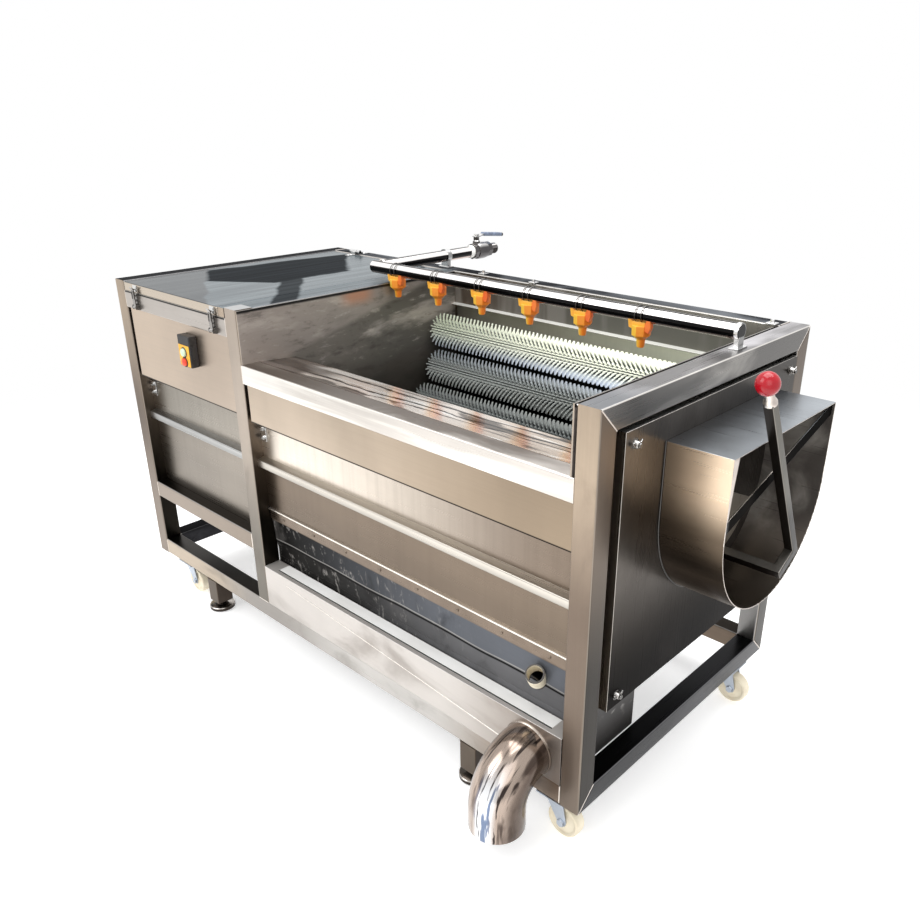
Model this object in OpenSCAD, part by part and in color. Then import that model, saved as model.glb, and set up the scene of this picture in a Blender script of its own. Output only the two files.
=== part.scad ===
// Brush roller vegetable washer: a welded tube frame, a drive cabinet, a bed of eight brush rollers,
// a spray bar, a sump with a drain, and a discharge chute with a hand lever gate.
// Frame axes: X runs from the drive cabinet to the discharge end, Y from front to back, Z up.

/* [Frame] */
// Length of the tube frame
frame_l = 1700; // [1500:10:2200]
// Width of the tube frame, front to back
frame_w = 800; // [760:10:860]
// Height of the tube frame, without the casters
frame_h = 870; // [850:5:1000]
// Side of the square frame tube
tube = 50; // [40:1:60]
// Wall of the square frame tube
tube_wall = 2.5; // [1.5:0.5:4]
// Length of the drive cabinet, with its posts
cabinet_l = 620; // [560:10:760]
// Drop of the front trough rail below the frame top
front_drop = 135; // [110:5:180]
// Drop of the cabinet's front rail below the frame top
cabinet_rail_drop = 25; // [20:1:40]
// Height of the cabinet's lower rail above the frame bottom
low_rail_z = 202; // [150:2:260]

/* [Sheet metal] */
// Thickness of the sheet panels
sheet = 2; // [1:0.5:3]
// Thickness of the plates that carry the roller bearings
bearing_plate = 4; // [3:1:8]
// Set-back of the upper front panels behind the frame front
skirt_recess = 4; // [2:1:12]
// Set-back of the ribbed lower panels behind the frame front
panel_recess = 36; // [28:1:44]
// Height of the skirt below the front trough rail
skirt_h = 98; // [60:2:130]
// Gap beside the mid post at the left end of the skirt
skirt_gap = 12; // [4:1:30]
// Height of the upper cabinet panel
cabinet_panel_h = 200; // [150:5:230]
// Depth of the turned-in edge of the upper panels
fold = 24; // [15:1:28]
// Height of the pressed rib on the lower panels
rib_h = 32; // [15:1:50]
// How far the pressed rib stands out
rib_out = 20; // [8:1:26]
// Drop of the rib's lower edge below the frame top
rib_drop = 418; // [370:2:450]
// Drop of the trough casing's lower edge below the frame top
casing_drop = 534; // [510:2:550]
// Height of the riveted hopper flange below the casing
flange_h = 36; // [20:1:60]
// Height of the hopper's lower edge above the frame bottom
hopper_z = 182; // [180:1:230]
// How far the hopper's front wall draws in at the bottom
hopper_draw = 14; // [10:2:60]
// Height of the sump apron
apron_h = 118; // [114:1:122]
// Width of the sump from front to back
sump_w = 262; // [230:2:400]
// Width of the sump's turned-in top edge
sump_flange = 48; // [20:2:60]
// Fall of the sump floor toward the drain
sump_fall = 62; // [20:2:64]

/* [Rollers] */
// Diameter over the bristle tips
brush_d = 100; // [80:1:110]
// Gap between the tips of neighbouring rollers
roller_gap = 9; // [4:1:16]
// Diameter of the roller core under the bristles
core_d = 64; // [50:1:70]
// Diameter of the roller shaft
shaft_d = 25; // [20:1:30]
// Drop of the back roller below the frame top
bed_drop = 165; // [150:5:190]
// Fall from the back roller to the front roller
bed_fall = 108.5; // [100:0.5:140]
// Space between the back roller and the frame tube
bed_clear = 20; // [14:1:40]
// Space between the front roller and the frame tube
bed_front = 42; // [30:1:60]
// Side of one square bristle tuft
tuft = 5; // [3:0.5:7]
// Bristle tufts around a roller in one row
tufts_around = 5; // [4:1:6]
// Rows of tufts along a roller
tuft_rows = 10; // [8:1:10]
// Diameter of a bearing flange
bearing_d = 68; // [56:1:72]
// Radius of the chain sprockets
sprocket_r = 36; // [28:1:40]
// Radial clearance of a turning shaft in its bore
run_fit = 0.05; // [0.02:0.01:0.1]

/* [Discharge] */
// Width of the chute
chute_w = 434; // [400:2:480]
// Drop of the chute's flat top below the frame top
chute_drop = 110; // [100:2:140]
// Height of the straight chute sides above the half round
chute_side = 163; // [150:1:185]
// How far the chute stands out from the end cover
chute_out = 137; // [100:1:220]
// Place of the chute's centre along the frame width
chute_y = 422; // [400:1:440]
// Radius of the outlet in the end walls
outlet_r = 120; // [90:1:124]
// Radius of the gate
gate_r = 168; // [162:1:176]
// Lean of the gate lever from upright
lever_lean = 28.9; // [10:0.1:40]
// Side of the square lever bar
lever_bar = 20; // [14:1:24]
// Distance from the pivot to the centre of the ball knob
lever_reach = 332; // [300:1:370]
// Distance from the pivot down to the lever's corner
lever_drop = 132; // [120:1:148]
// Length of the lever's foot
lever_foot = 62; // [50:1:64]
// Diameter of the ball knob
knob_d = 44; // [35:1:60]

/* [Water] */
// Outside diameter of the spray bar and the feed pipe
spray_d = 34; // [26:1:40]
// Height of the spray bar's underside above the frame top
spray_lift = 17; // [14:1:30]
// Place of the spray bar along the frame width
spray_y = 505; // [460:1:540]
// Distance of the feed pipe from the mid post, toward the cabinet
feed_in = 8; // [6:1:20]
// Spray nozzles along the bar
nozzle_count = 6; // [4:1:6]
// Distance of the last nozzle from the end wall
nozzle_end = 196; // [120:2:260]
// Length of a spray nozzle below the bar
nozzle_l = 58; // [40:1:70]
// Reach of the feed pipe behind the frame
feed_out = 88; // [60:1:160]
// Length of the ball valve's handle
handle_l = 118; // [90:1:160]
// Outside diameter of the drain pipe
drain_d = 120; // [90:1:126]
// Outside diameter of the overflow stub on the hopper
overflow_d = 40; // [30:1:46]
// Wall of the drain pipe
drain_wall = 3; // [2:0.5:5]
// Radius of the drain elbow at the middle of the pipe
drain_bend = 86; // [74:1:110]
// Straight length of the drain below the elbow
drain_tail = 48; // [30:1:60]
// Distance of the drain from the frame's right end
drain_in = 135; // [124:1:200]
// Height of the drain's middle above the frame's bottom
drain_z = 97; // [90:1:102]

/* [Running gear and controls] */
// Height of the casters
caster_h = 105; // [100:1:140]
// Diameter of a caster wheel
wheel_d = 80; // [64:1:84]
// Width of a caster wheel
wheel_w = 28; // [20:1:34]
// Distance from the swivel axis to the wheel axle
caster_trail = 22; // [15:1:26]
// Distance of the front left caster from the frame's left end
caster_left = 145; // [100:1:180]
// Distance of the front right caster from the frame's right end
caster_right = 76; // [60:1:110]
// Distance of the rear casters from the frame's back
caster_back = 110; // [60:1:140]
// Distance of the left legs from the frame's left end
leg_in_left = 306; // [200:1:400]
// Distance of the right legs from the frame's right end
leg_in_right = 312; // [250:1:400]
// Diameter of a levelling foot
foot_d = 76; // [56:1:90]
// Travel of a levelling foot
foot_travel = 10; // [6:1:16]
// Width of the switch box
switch_w = 58; // [50:1:90]
// Height of the switch box
switch_h = 84; // [78:1:130]
// Depth of the switch box in front of its panel
switch_out = 24; // [20:1:50]
// Diameter of the push buttons
button_d = 22; // [16:1:26]
// Travel of the push buttons
button_travel = 4; // [2:0.5:5]

/* [Hidden] */
$fn = 48;
eps = 1;
gap = 0.3;
right = frame_l;
mid_r = cabinet_l;
mid_l = cabinet_l - tube;
inner_back = frame_w - tube;
inner_top = frame_h - tube;
trough_r = right - tube;
front_top = frame_h - front_drop;
front_low = front_top - tube;
cab_top = frame_h - cabinet_rail_drop;
cab_low = cab_top - tube;
low_rail_top = low_rail_z + tube;
skirt_z = front_low - skirt_h;
cabinet_panel_z = cab_low - cabinet_panel_h;
rib_z = frame_h - rib_drop;
casing_z = frame_h - casing_drop;
flange_z = casing_z - flange_h;
sump_top = tube + apron_h;

roller_count = 8;
pitch = brush_d + roller_gap;
// The bed hangs in an arc between its back roller and its front roller
bed_first = [inner_back - bed_clear - brush_d / 2, frame_h - bed_drop];
bed_last = [tube + bed_front + brush_d / 2, frame_h - bed_drop - bed_fall];
bed_chord = norm(bed_first - bed_last);
function chord_of(step) = pitch * sin((roller_count - 1) * step / 2) / sin(step / 2);
// The step between rollers at which they span that chord, found by halving
function step_for(low, high, n) = let (half = (low + high) / 2)
    n == 0 ? half : chord_of(half) > bed_chord ? step_for(half, high, n - 1) : step_for(low, half, n - 1);
roller_step = step_for(1, 50, 40);
bed_r = pitch / 2 / sin(roller_step / 2);
bed_span = (roller_count - 1) * roller_step;
bed_way = (bed_first - bed_last) / bed_chord;
bed_mid = (bed_first + bed_last) / 2 + bed_r * cos(bed_span / 2) * [-bed_way[1], bed_way[0]];
bed_y = bed_mid[0];
bed_z = bed_mid[1];
bed_from = atan2(bed_z - bed_first[1], bed_first[0] - bed_y);
bed_to = bed_from + bed_span;
function roller_y(k) = bed_y + bed_r * cos(bed_from + k * roller_step);
function roller_z(k) = bed_z - bed_r * sin(bed_from + k * roller_step);
plate_l = mid_r + bearing_plate;
end_plate_in = 6;
end_plate_r = trough_r - end_plate_in;
end_plate_l = end_plate_r - bearing_plate;
bearing_t = 8;
bearing_hub = 16;
core_side = 8;
core_l = plate_l + core_side;
core_r = end_plate_l - core_side;
sprocket_t = 8;
sprocket_pitch = 20;
chain_t = 5;
chain_gap = 0.8;
link_in = 36;
link_x = mid_r - link_in;
motor_x = link_x - sprocket_pitch;
shaft_end = 6;
shaft_l = motor_x - shaft_end;
shaft_r = end_plate_r + bearing_hub;

cover_out = 4;
cover_x = right + cover_out;
cover_z = 222;
cover_lo = [tube + 22, cover_z];
cover_hi = [inner_back - 8, frame_h - 58];
stud_d = 10;
stud_in = 28;
chute_top = frame_h - chute_drop;
pivot_z = chute_top - chute_side;
chute_x = cover_x + chute_out;
gate_spread = 65;
outlet_spread = 55;
outlet_hub = 40;
// The outlet stays clear of the bearing at the bottom of the bed
outlet_room = pivot_z - bed_z + bed_r - bearing_d / 2 - sheet - 4;
outlet_open = min(outlet_r, outlet_room);
gate_t = 3;
gate_hub = 12;
pivot_pad = 4;
pivot_d = 16;
gate_x = cover_x + pivot_pad + gap;
lever_gap = 5;
lever_x = chute_x + lever_gap;
lever_mid = lever_x + lever_bar / 2;

spray_z = frame_h + spray_lift + spray_d / 2;
feed_x = mid_l - feed_in;
spray_l = feed_x - spray_d / 2;
spray_wall = 2.5;
saddle_fit = 0.4;
spray_r = right - 20;
nozzle_ball = 36;
nozzle_x0 = plate_l + nozzle_ball / 2 + 1.5;
nozzle_pitch = (end_plate_l - nozzle_end - nozzle_x0) / (nozzle_count - 1);
valve_y = frame_w + feed_out;
valve_l = 76;
valve_d = 52;
inlet_l = 30;
inlet_bore = spray_d - 8;
handle_y = valve_y + 22;
handle_z = spray_z + valve_d / 2 + 16;
drain_x = right - drain_in;
drain_lead = 10;

plate_t = 5;
caster_in = 35;
caster_pad = 70;
stem_d = 14;
axle_d = 10;
fork_t = 4;
wheel_side = 1;
axle_z = wheel_d / 2 - caster_h;
caster_at = [[caster_left, caster_in], [right - caster_right, caster_in],
    [caster_in, frame_w - caster_back], [right - caster_in, frame_w - caster_back]];
leg_at = [[leg_in_left, tube / 2], [right - leg_in_right, tube / 2],
    [leg_in_left, frame_w - tube / 2], [right - leg_in_right, frame_w - tube / 2]];
foot_t = 14;
foot_lift = 2;
foot_z = foot_lift - caster_h;
leg_z = foot_z + foot_t + foot_travel + 1;
screw_d = 20;

shelf_t = 3;
motor_y = 250;
shelf_z = low_rail_top + shelf_t;
motor_z = shelf_z + 84;
motor_d = 150;
gearbox = [130, 150, 164];
gearbox_r = motor_x - 14;
gearbox_l = gearbox_r - gearbox[0];
output_d = 24;

lid_side = 2;
lid_left = tube + lid_side;
lid_right = spray_l - 2 * lid_side;
lid_back = inner_back - 3;
lid_top = frame_h - 2;
lid_front = cab_top + gap;
hinge_y = inner_back;
hinge_z = frame_h + 8;
knuckle_d = 12;
pin_d = 6;
hinge_at = [lid_left + 108, lid_right - 81];
hinge_w = 48;
knuckle_w = 14;
lid_knuckle = 19;
latch_at = [lid_left + 65, lid_right - 24];
latch_w = 20;
latch_z = cab_low + 11;
latch_y = -8;
latch_h = 56;
switch_in = 266;
switch_up = 93;
switch_x = cabinet_l - switch_in;
switch_z = cabinet_panel_z + switch_up;
switch_y = skirt_recess - switch_out;
switch_back = 4;
start_up = 40;
stop_up = 14;
button_z = [switch_z + start_up, switch_z + stop_up];
button_x = switch_x + switch_w / 2;
button_out = 8;
button_in = 10;

x_max = lever_mid + knob_d / 2;
y_min = -drain_lead - drain_bend - drain_d / 2;
y_max = handle_y + handle_l;

// Puts the frame's corner where the whole machine stands centred over its origin, on the floor
module place() translate([-x_max / 2, -(y_min + y_max) / 2, caster_h]) children();

module slab(lo, hi) translate(lo) cube(hi - lo);
module rod_x(x0, x1, y, z, d) translate([x0, y, z]) rotate([0, 90, 0]) cylinder(h = x1 - x0, d = d);
module rod_y(x, y0, y1, z, d) translate([x, y0, z]) rotate([-90, 0, 0]) cylinder(h = y1 - y0, d = d);
module rod_z(x, y, z0, z1, d) translate([x, y, z0]) cylinder(h = z1 - z0, d = d);
// A flat outline in Y and Z, given thickness along X
module plate_yz(x0, x1) translate([x0, 0, 0]) rotate([90, 0, 90]) linear_extrude(x1 - x0) children();
// A flat outline in X and Z, given thickness along Y
module plate_xz(y0, y1) translate([0, y1, 0]) rotate([90, 0, 0]) linear_extrude(y1 - y0) children();

// Square tubes along each axis, open at their ends
module tube_x(x0, x1, y, z) difference() {
    slab([x0, y, z], [x1, y + tube, z + tube]);
    slab([x0 - eps, y + tube_wall, z + tube_wall], [x1 + eps, y + tube - tube_wall, z + tube - tube_wall]);
}
module tube_y(x, y0, y1, z) difference() {
    slab([x, y0, z], [x + tube, y1, z + tube]);
    slab([x + tube_wall, y0 - eps, z + tube_wall], [x + tube - tube_wall, y1 + eps, z + tube - tube_wall]);
}
module tube_z(x, y, z0, z1) difference() {
    slab([x, y, z0], [x + tube, y + tube, z1]);
    slab([x + tube_wall, y + tube_wall, z0 - eps], [x + tube - tube_wall, y + tube - tube_wall, z1 + eps]);
}

// Upright and level members of an end frame, mitred where they meet
module end_upright(x, y_out, y_in) difference() {
    plate_yz(x, x + tube) polygon([[y_out, 0], [y_out, frame_h], [y_in, inner_top], [y_in, tube]]);
    slab([x + tube_wall, min(y_out, y_in) + tube_wall, -eps],
        [x + tube - tube_wall, max(y_out, y_in) - tube_wall, frame_h + eps]);
}
module end_level(x, z_out, z_in) difference() {
    plate_yz(x, x + tube) polygon([[0, z_out], [frame_w, z_out], [inner_back, z_in], [tube, z_in]]);
    slab([x + tube_wall, -eps, min(z_out, z_in) + tube_wall],
        [x + tube - tube_wall, frame_w + eps, max(z_out, z_in) - tube_wall]);
}

module corner_posts() color([0.78, 0.74, 0.68]) place() {
    for (x = [0, trough_r]) {
        end_upright(x, 0, tube);
        end_upright(x, frame_w, inner_back);
    }
    difference() {
        slab([mid_l, 0, tube], [mid_r, tube, frame_h]);
        slab([mid_l + tube_wall, tube_wall, tube - eps],
            [mid_r - tube_wall, tube - tube_wall, frame_h - tube_wall]);
    }
    tube_z(mid_l, inner_back, tube, inner_top);
}

module long_rails() color([0.8, 0.77, 0.72]) place() {
    tube_x(tube, trough_r, 0, 0);
    tube_x(tube, trough_r, inner_back, 0);
    tube_x(tube, trough_r, inner_back, inner_top);
    tube_x(mid_r, trough_r, 0, front_low);
    tube_x(tube, mid_l, 0, cab_low);
    tube_x(tube, mid_l, 0, low_rail_z);
    tube_x(tube, mid_l, inner_back, low_rail_z);
}

module cross_rails() color([0.7, 0.68, 0.65]) place() {
    for (x = [0, trough_r]) {
        end_level(x, frame_h, inner_top);
        end_level(x, 0, tube);
    }
    tube_y(0, tube, inner_back, low_rail_z);
    tube_y(mid_l, tube, inner_back, inner_top);
    tube_y(mid_l, tube, inner_back, 0);
    // Ledge beside the lid, under the end of the spray bar, with its front turned down to the rail
    slab([lid_right + lid_side, 0, lid_top - sheet], [mid_l, lid_back, lid_top]);
    slab([lid_right + lid_side, 0, cab_top], [mid_l, sheet, lid_top]);
}

// An upper front panel with its free edges turned in
module folded_panel(x0, x1, z0, z1) {
    slab([x0, skirt_recess, z0], [x1, skirt_recess + sheet, z1]);
    slab([x0, skirt_recess, z0], [x1, skirt_recess + fold, z0 + sheet]);
    slab([x0, skirt_recess, z0], [x0 + sheet, skirt_recess + fold, z1]);
}
module front_skirt() color([0.88, 0.8, 0.7]) place()
    folded_panel(mid_r + skirt_gap, trough_r, skirt_z, front_low);
module cabinet_front_panel() color([0.88, 0.81, 0.73]) place()
    folded_panel(tube + skirt_gap, mid_l, cabinet_panel_z, cab_low);

// A recessed lower panel with one pressed rib
module ribbed_panel(x0, x1, z0, z1) {
    slab([x0, panel_recess, z0], [x1, panel_recess + sheet, z1]);
    slab([x0, panel_recess - rib_out, rib_z], [x1, panel_recess, rib_z + rib_h]);
}
module front_lower_panel() color([0.56, 0.49, 0.43]) place()
    ribbed_panel(mid_r, trough_r, casing_z, front_low);
module cabinet_lower_panel() color([0.55, 0.5, 0.45]) place()
    ribbed_panel(tube, mid_l, low_rail_top, cab_low);

gland_x = tube + 70;
gland_z = low_rail_top + 60;
gland_d = 26;
gland_bore = 12;
gland_l = 20;
// The trough's back panel, and the cabinet's back panel with its cable gland
module back_panels() color([0.7, 0.68, 0.65]) place() {
    slab([mid_r, frame_w - panel_recess - sheet, flange_z],
        [trough_r, frame_w - panel_recess, inner_top]);
    difference() {
        union() {
            slab([tube, frame_w - skirt_recess - sheet, low_rail_top],
                [mid_l, frame_w - skirt_recess, inner_top]);
            rod_y(gland_x, frame_w - skirt_recess, frame_w - skirt_recess + gland_l, gland_z, gland_d);
        }
        rod_y(gland_x, frame_w - fold, frame_w + gland_l, gland_z, gland_bore);
    }
}
module left_end_panel() color([0.7, 0.68, 0.65]) place()
    slab([skirt_recess, tube, low_rail_top], [skirt_recess + sheet, inner_back, inner_top]);

// The outlet: a sector below the gate's pivot
module outlet_shape(r, spread, hub) intersection() {
    translate([chute_y, pivot_z]) difference() {
        circle(r = r);
        circle(r = hub);
    }
    translate([chute_y, pivot_z])
        polygon([[0, 0], [-2 * r * sin(spread), -2 * r * cos(spread)], [0, -4 * r],
            [2 * r * sin(spread), -2 * r * cos(spread)]]);
}
module shaft_holes(d) for (k = [0 : roller_count - 1]) translate([roller_y(k), roller_z(k)]) circle(d = d);

module drive_plate() color([0.36, 0.33, 0.31]) place() plate_yz(mid_r, plate_l) difference() {
    polygon([[tube, flange_z], [inner_back, flange_z], [inner_back, frame_h - sheet],
        [sheet, frame_h - sheet], [sheet, front_top], [tube, front_top]]);
    shaft_holes(shaft_d + 4);
}
module end_bearing_plate() color([0.42, 0.4, 0.38]) place()
    plate_yz(end_plate_l, end_plate_r) difference() {
        polygon([[tube, cover_z], [inner_back, cover_z], [inner_back, frame_h - sheet],
            [sheet, frame_h - sheet], [sheet, front_top], [tube, front_top]]);
        shaft_holes(shaft_d + 4);
        outlet_shape(outlet_open, outlet_spread, outlet_hub);
    }

stud_at = [[cover_lo[0] + stud_in, cover_lo[1] + stud_in], [cover_hi[0] - stud_in, cover_lo[1] + stud_in],
    [cover_lo[0] + stud_in, cover_hi[1] - stud_in], [cover_hi[0] - stud_in, cover_hi[1] - stud_in]];
module cover_outline(inset) translate([cover_lo[0] + inset, cover_lo[1] + inset])
    square([cover_hi[0] - cover_lo[0] - 2 * inset, cover_hi[1] - cover_lo[1] - 2 * inset]);
module end_cover_panel() color([0.34, 0.33, 0.32]) place() {
    plate_yz(cover_x - sheet, cover_x) difference() {
        cover_outline(0);
        for (p = stud_at) translate(p) circle(d = stud_d + saddle_fit);
        outlet_shape(outlet_open, outlet_spread, outlet_hub);
    }
    plate_yz(cover_x - fold, cover_x - sheet) difference() {
        cover_outline(0);
        cover_outline(sheet);
    }
    plate_yz(end_plate_r, cover_x - sheet) difference() {
        outlet_shape(outlet_open + sheet, outlet_spread + 2, outlet_hub - sheet);
        outlet_shape(outlet_open, outlet_spread, outlet_hub);
    }
}

// The chute's section: flat on top, straight sides, half round below
module chute_shape(inset) translate([chute_y, pivot_z]) {
    intersection() {
        circle(d = chute_w - 2 * inset, $fn = 96);
        translate([-chute_w, -chute_w]) square([2 * chute_w, chute_w]);
    }
    translate([inset - chute_w / 2, 0]) square([chute_w - 2 * inset, chute_side - inset]);
}
brace_h = 24;
brace_t = 3;
brace_in = 5;
brace_drop = 132;
brace_over = 50;
module brace_shape() intersection() {
    chute_shape(sheet / 2);
    translate([chute_y - chute_w / 2, chute_top - brace_drop])
        rotate(atan2(brace_drop - sheet, chute_w)) translate([-brace_over, -brace_h])
            square([chute_w + 2 * brace_over, brace_h]);
}
module discharge_chute() color([0.6, 0.57, 0.54]) place() {
    plate_yz(cover_x, chute_x) difference() {
        chute_shape(0);
        chute_shape(sheet);
    }
    plate_yz(chute_x - brace_in - brace_t, chute_x - brace_in) brace_shape();
}

guard_in = 110;
guard_fall = 8;
guard_lip = 68;
guard_foot = 44;
guard_z = front_top - 1;
lip_z = frame_h - 95;
lip_in = 14;
lip_fall = 4;
// The folded guard along the front of the trough and the lip along its back
module trough_guards() color([0.75, 0.74, 0.72]) place() {
    plate_yz(plate_l, end_plate_l) polygon([[tube, front_top - guard_foot], [tube, guard_z],
        [tube + sheet, guard_z], [tube + guard_in, guard_z - guard_fall],
        [tube + guard_in, guard_z - guard_lip], [tube + guard_in - sheet, guard_z - guard_lip],
        [tube + guard_in - sheet, guard_z - guard_fall - sheet], [tube + sheet, guard_z - sheet],
        [tube + sheet, front_top - guard_foot]]);
    plate_yz(plate_l, end_plate_l) polygon([[inner_back, frame_h - sheet], [inner_back, lip_z],
        [inner_back - lip_in, lip_z - lip_fall], [inner_back - lip_in, lip_z - lip_fall + sheet],
        [inner_back - sheet, lip_z + sheet], [inner_back - sheet, frame_h - sheet]]);
}

// The hopper's front wall in section, as points from the rim down to the mouth
function hopper_front(t, top, low) = [[panel_recess + sheet + t, top], [panel_recess + sheet + t, flange_z],
    [panel_recess + sheet + hopper_draw / 3 + t, (flange_z + hopper_z) / 2],
    [panel_recess + sheet + hopper_draw + t, low]];
// The hopper's floor runs down from the back wall into the sump
mouth_in = 12;
mouth_y = sump_w - mouth_in;
hopper_y = frame_w - panel_recess - sheet;
floor_fall = atan2(flange_z - hopper_z, hopper_y - mouth_y);
function floor_y(z, t) = mouth_y + (z - hopper_z - t / cos(floor_fall)) / tan(floor_fall);
function hopper_floor(t, top, low) = [[floor_y(low, t), low],
    [hopper_y - t, flange_z + t / cos(floor_fall) - t * tan(floor_fall)], [hopper_y - t, top]];
// The hopper's end walls stay below the lowest roller shaft
hopper_rim = min(casing_z + 40, bed_z - bed_r - shaft_d / 2 - 5);
overflow_x = end_plate_l - 90;
overflow_low = 4;
overflow_z = (flange_z + hopper_z) / 2 - overflow_low;
overflow_l = 50;
overflow_wall = 3;
// The overflow stub leans out and up from the hopper's front wall
module overflow_stub(d, l)
    translate([overflow_x, panel_recess + sheet + hopper_draw / 3 + sheet, overflow_z])
        rotate([35, 20, 0]) cylinder(h = l, d = d);
module water_hopper() color([0.4, 0.36, 0.33]) place() difference() {
    union() {
        plate_yz(plate_l, end_plate_l)
            polygon(concat(hopper_front(0, hopper_rim, hopper_z), hopper_floor(0, hopper_rim, hopper_z)));
        overflow_stub(overflow_d, overflow_l);
    }
    plate_yz(plate_l + sheet, end_plate_l - sheet)
        polygon(concat(hopper_front(sheet, hopper_rim + eps, hopper_z - eps),
            hopper_floor(sheet, hopper_rim + eps, hopper_z - eps)));
    overflow_stub(overflow_d - 2 * overflow_wall, overflow_l + eps);
}

module sump_pan() color([0.72, 0.7, 0.68]) place() difference() {
    union() {
        slab([mid_r, 0, tube], [trough_r, sheet, sump_top]);
        slab([mid_r, sump_w - sheet, tube], [trough_r, sump_w, sump_top]);
        slab([mid_r, 0, tube], [mid_r + sheet, sump_w, sump_top]);
        slab([mid_r, tube, tube], [mid_r + sheet, sump_w, flange_z]);
        slab([trough_r - sheet, 0, tube], [trough_r, sump_w, sump_top]);
        slab([trough_r - sheet, tube, tube], [trough_r, sump_w, cover_z - sheet]);
        slab([mid_r, 0, sump_top - sheet], [trough_r, sump_flange, sump_top]);
        plate_xz(0, sump_w) polygon([[mid_r, tube + sump_fall], [mid_r, tube + sump_fall + sheet],
            [trough_r, tube + sheet], [trough_r, tube]]);
    }
    rod_y(drain_x, -eps, sheet + eps, drain_z, drain_d - 2 * drain_wall);
}

weld = 5;
// The drain pipe: out through the apron, a quarter bend, then down
module drain_run(d, over) {
    rod_y(drain_x, -drain_lead, over, drain_z, d);
    translate([drain_x, -drain_lead, drain_z - drain_bend]) rotate([180, -90, 0])
        rotate_extrude(angle = 90) translate([drain_bend, 0]) circle(d = d);
    rod_z(drain_x, -drain_lead - drain_bend, drain_z - drain_bend - drain_tail - over,
        drain_z - drain_bend, d);
}
module drain_elbow() color([0.78, 0.76, 0.74]) place() difference() {
    union() {
        drain_run(drain_d, 0);
        rod_y(drain_x, -weld, 0, drain_z, drain_d + weld);
    }
    drain_run(drain_d - 2 * drain_wall, eps);
}

// The spray bar and the feed pipe that meets it, bored through as one run
module spray_bar() color([0.85, 0.84, 0.83]) place() difference() {
    union() {
        rod_x(spray_l, spray_r, spray_y, spray_z, spray_d);
        rod_y(feed_x, spray_y, valve_y, spray_z, spray_d);
    }
    rod_x(spray_l + spray_wall, spray_r - spray_wall, spray_y, spray_z, spray_d - 2 * spray_wall);
    rod_y(feed_x, spray_y, valve_y + eps, spray_z, spray_d - 2 * spray_wall);
}

nozzle_w = 26;
nozzle_neck = 24;
nozzle_tip = 15;
nozzle_bore = 6;
nozzle_drop = 26;
ear = [7, 30, 12];
// A clip-on nozzle: saddle, neck, ball, tip and the ear of its clip
module spray_nozzle(x) difference() {
    union() {
        rod_x(x - nozzle_w / 2, x + nozzle_w / 2, spray_y, spray_z, spray_d + 8);
        rod_z(x, spray_y, spray_z - spray_d / 2 - nozzle_drop, spray_z, nozzle_neck);
        translate([x, spray_y, spray_z - spray_d / 2 - nozzle_drop]) sphere(d = nozzle_ball);
        rod_z(x, spray_y, spray_z - spray_d / 2 - nozzle_l, spray_z - spray_d / 2, nozzle_tip);
        translate([x + nozzle_w / 2 - ear[0], spray_y - ear[1], spray_z - nozzle_drop]) cube(ear);
    }
    rod_x(x - nozzle_w, x + nozzle_w, spray_y, spray_z, spray_d + saddle_fit);
    slab([x - nozzle_w, spray_y - spray_d, spray_z + 2],
        [x + nozzle_w, spray_y + spray_d, spray_z + spray_d]);
    rod_z(x, spray_y, spray_z - spray_d / 2 - nozzle_l - eps, spray_z, nozzle_bore);
}
module spray_nozzles() color([0.98, 0.58, 0.1]) place()
    for (i = [0 : nozzle_count - 1]) spray_nozzle(nozzle_x0 + i * nozzle_pitch);

saddle_w = 44;
saddle_in = 12;
// Saddles that carry the spray bar on the end rail and the feed pipe on the back rail
module spray_brackets() color([0.5, 0.5, 0.5]) place() {
    difference() {
        slab([trough_r + saddle_in, spray_y - saddle_w / 2, frame_h],
            [right - saddle_in, spray_y + saddle_w / 2, spray_z]);
        rod_x(trough_r, right, spray_y, spray_z, spray_d + saddle_fit);
    }
    difference() {
        slab([feed_x - saddle_w / 2, inner_back + saddle_in, frame_h],
            [feed_x + saddle_w / 2, frame_w - saddle_in, spray_z]);
        rod_y(feed_x, inner_back, frame_w, spray_z, spray_d + saddle_fit);
    }
}

boss_d = 20;
valve_stem = 9;
stem_in = 4;
hex_l = 17;
hex_d = valve_d - 4;
// An eight-sided end of the valve body
module valve_end(y) translate([feed_x, y, spray_z]) rotate([-90, 0, 0])
    cylinder(h = hex_l, d = hex_d, $fn = 8);
module ball_valve() color([0.6, 0.6, 0.6]) place() difference() {
    union() {
        valve_end(valve_y);
        rod_y(feed_x, valve_y + hex_l, valve_y + valve_l - hex_l, spray_z, valve_d);
        valve_end(valve_y + valve_l - hex_l);
        rod_y(feed_x, valve_y + valve_l, valve_y + valve_l + inlet_l, spray_z, spray_d);
        rod_z(feed_x, handle_y, spray_z, handle_z - gap, boss_d);
    }
    rod_y(feed_x, valve_y - eps, valve_y + valve_l + inlet_l + eps, spray_z, inlet_bore);
    rod_z(feed_x, handle_y, spray_z + valve_d / 2 - stem_in, handle_z, valve_stem + 2 * run_fit);
}
handle_t = 4;
grip = [20, 12];
grip_from = 30;
module valve_handle() color([0.55, 0.6, 0.68]) place() {
    rod_z(feed_x, handle_y, spray_z + valve_d / 2 - stem_in + 1, handle_z + handle_t, valve_stem);
    rod_z(feed_x, handle_y, handle_z, handle_z + handle_t, boss_d);
    slab([feed_x - 8, handle_y, handle_z],
        [feed_x + 8, handle_y + grip_from + handle_t, handle_z + handle_t]);
    slab([feed_x - grip[0] / 2, handle_y + grip_from, handle_z],
        [feed_x + grip[0] / 2, handle_y + handle_l, handle_z + grip[1]]);
}

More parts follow.
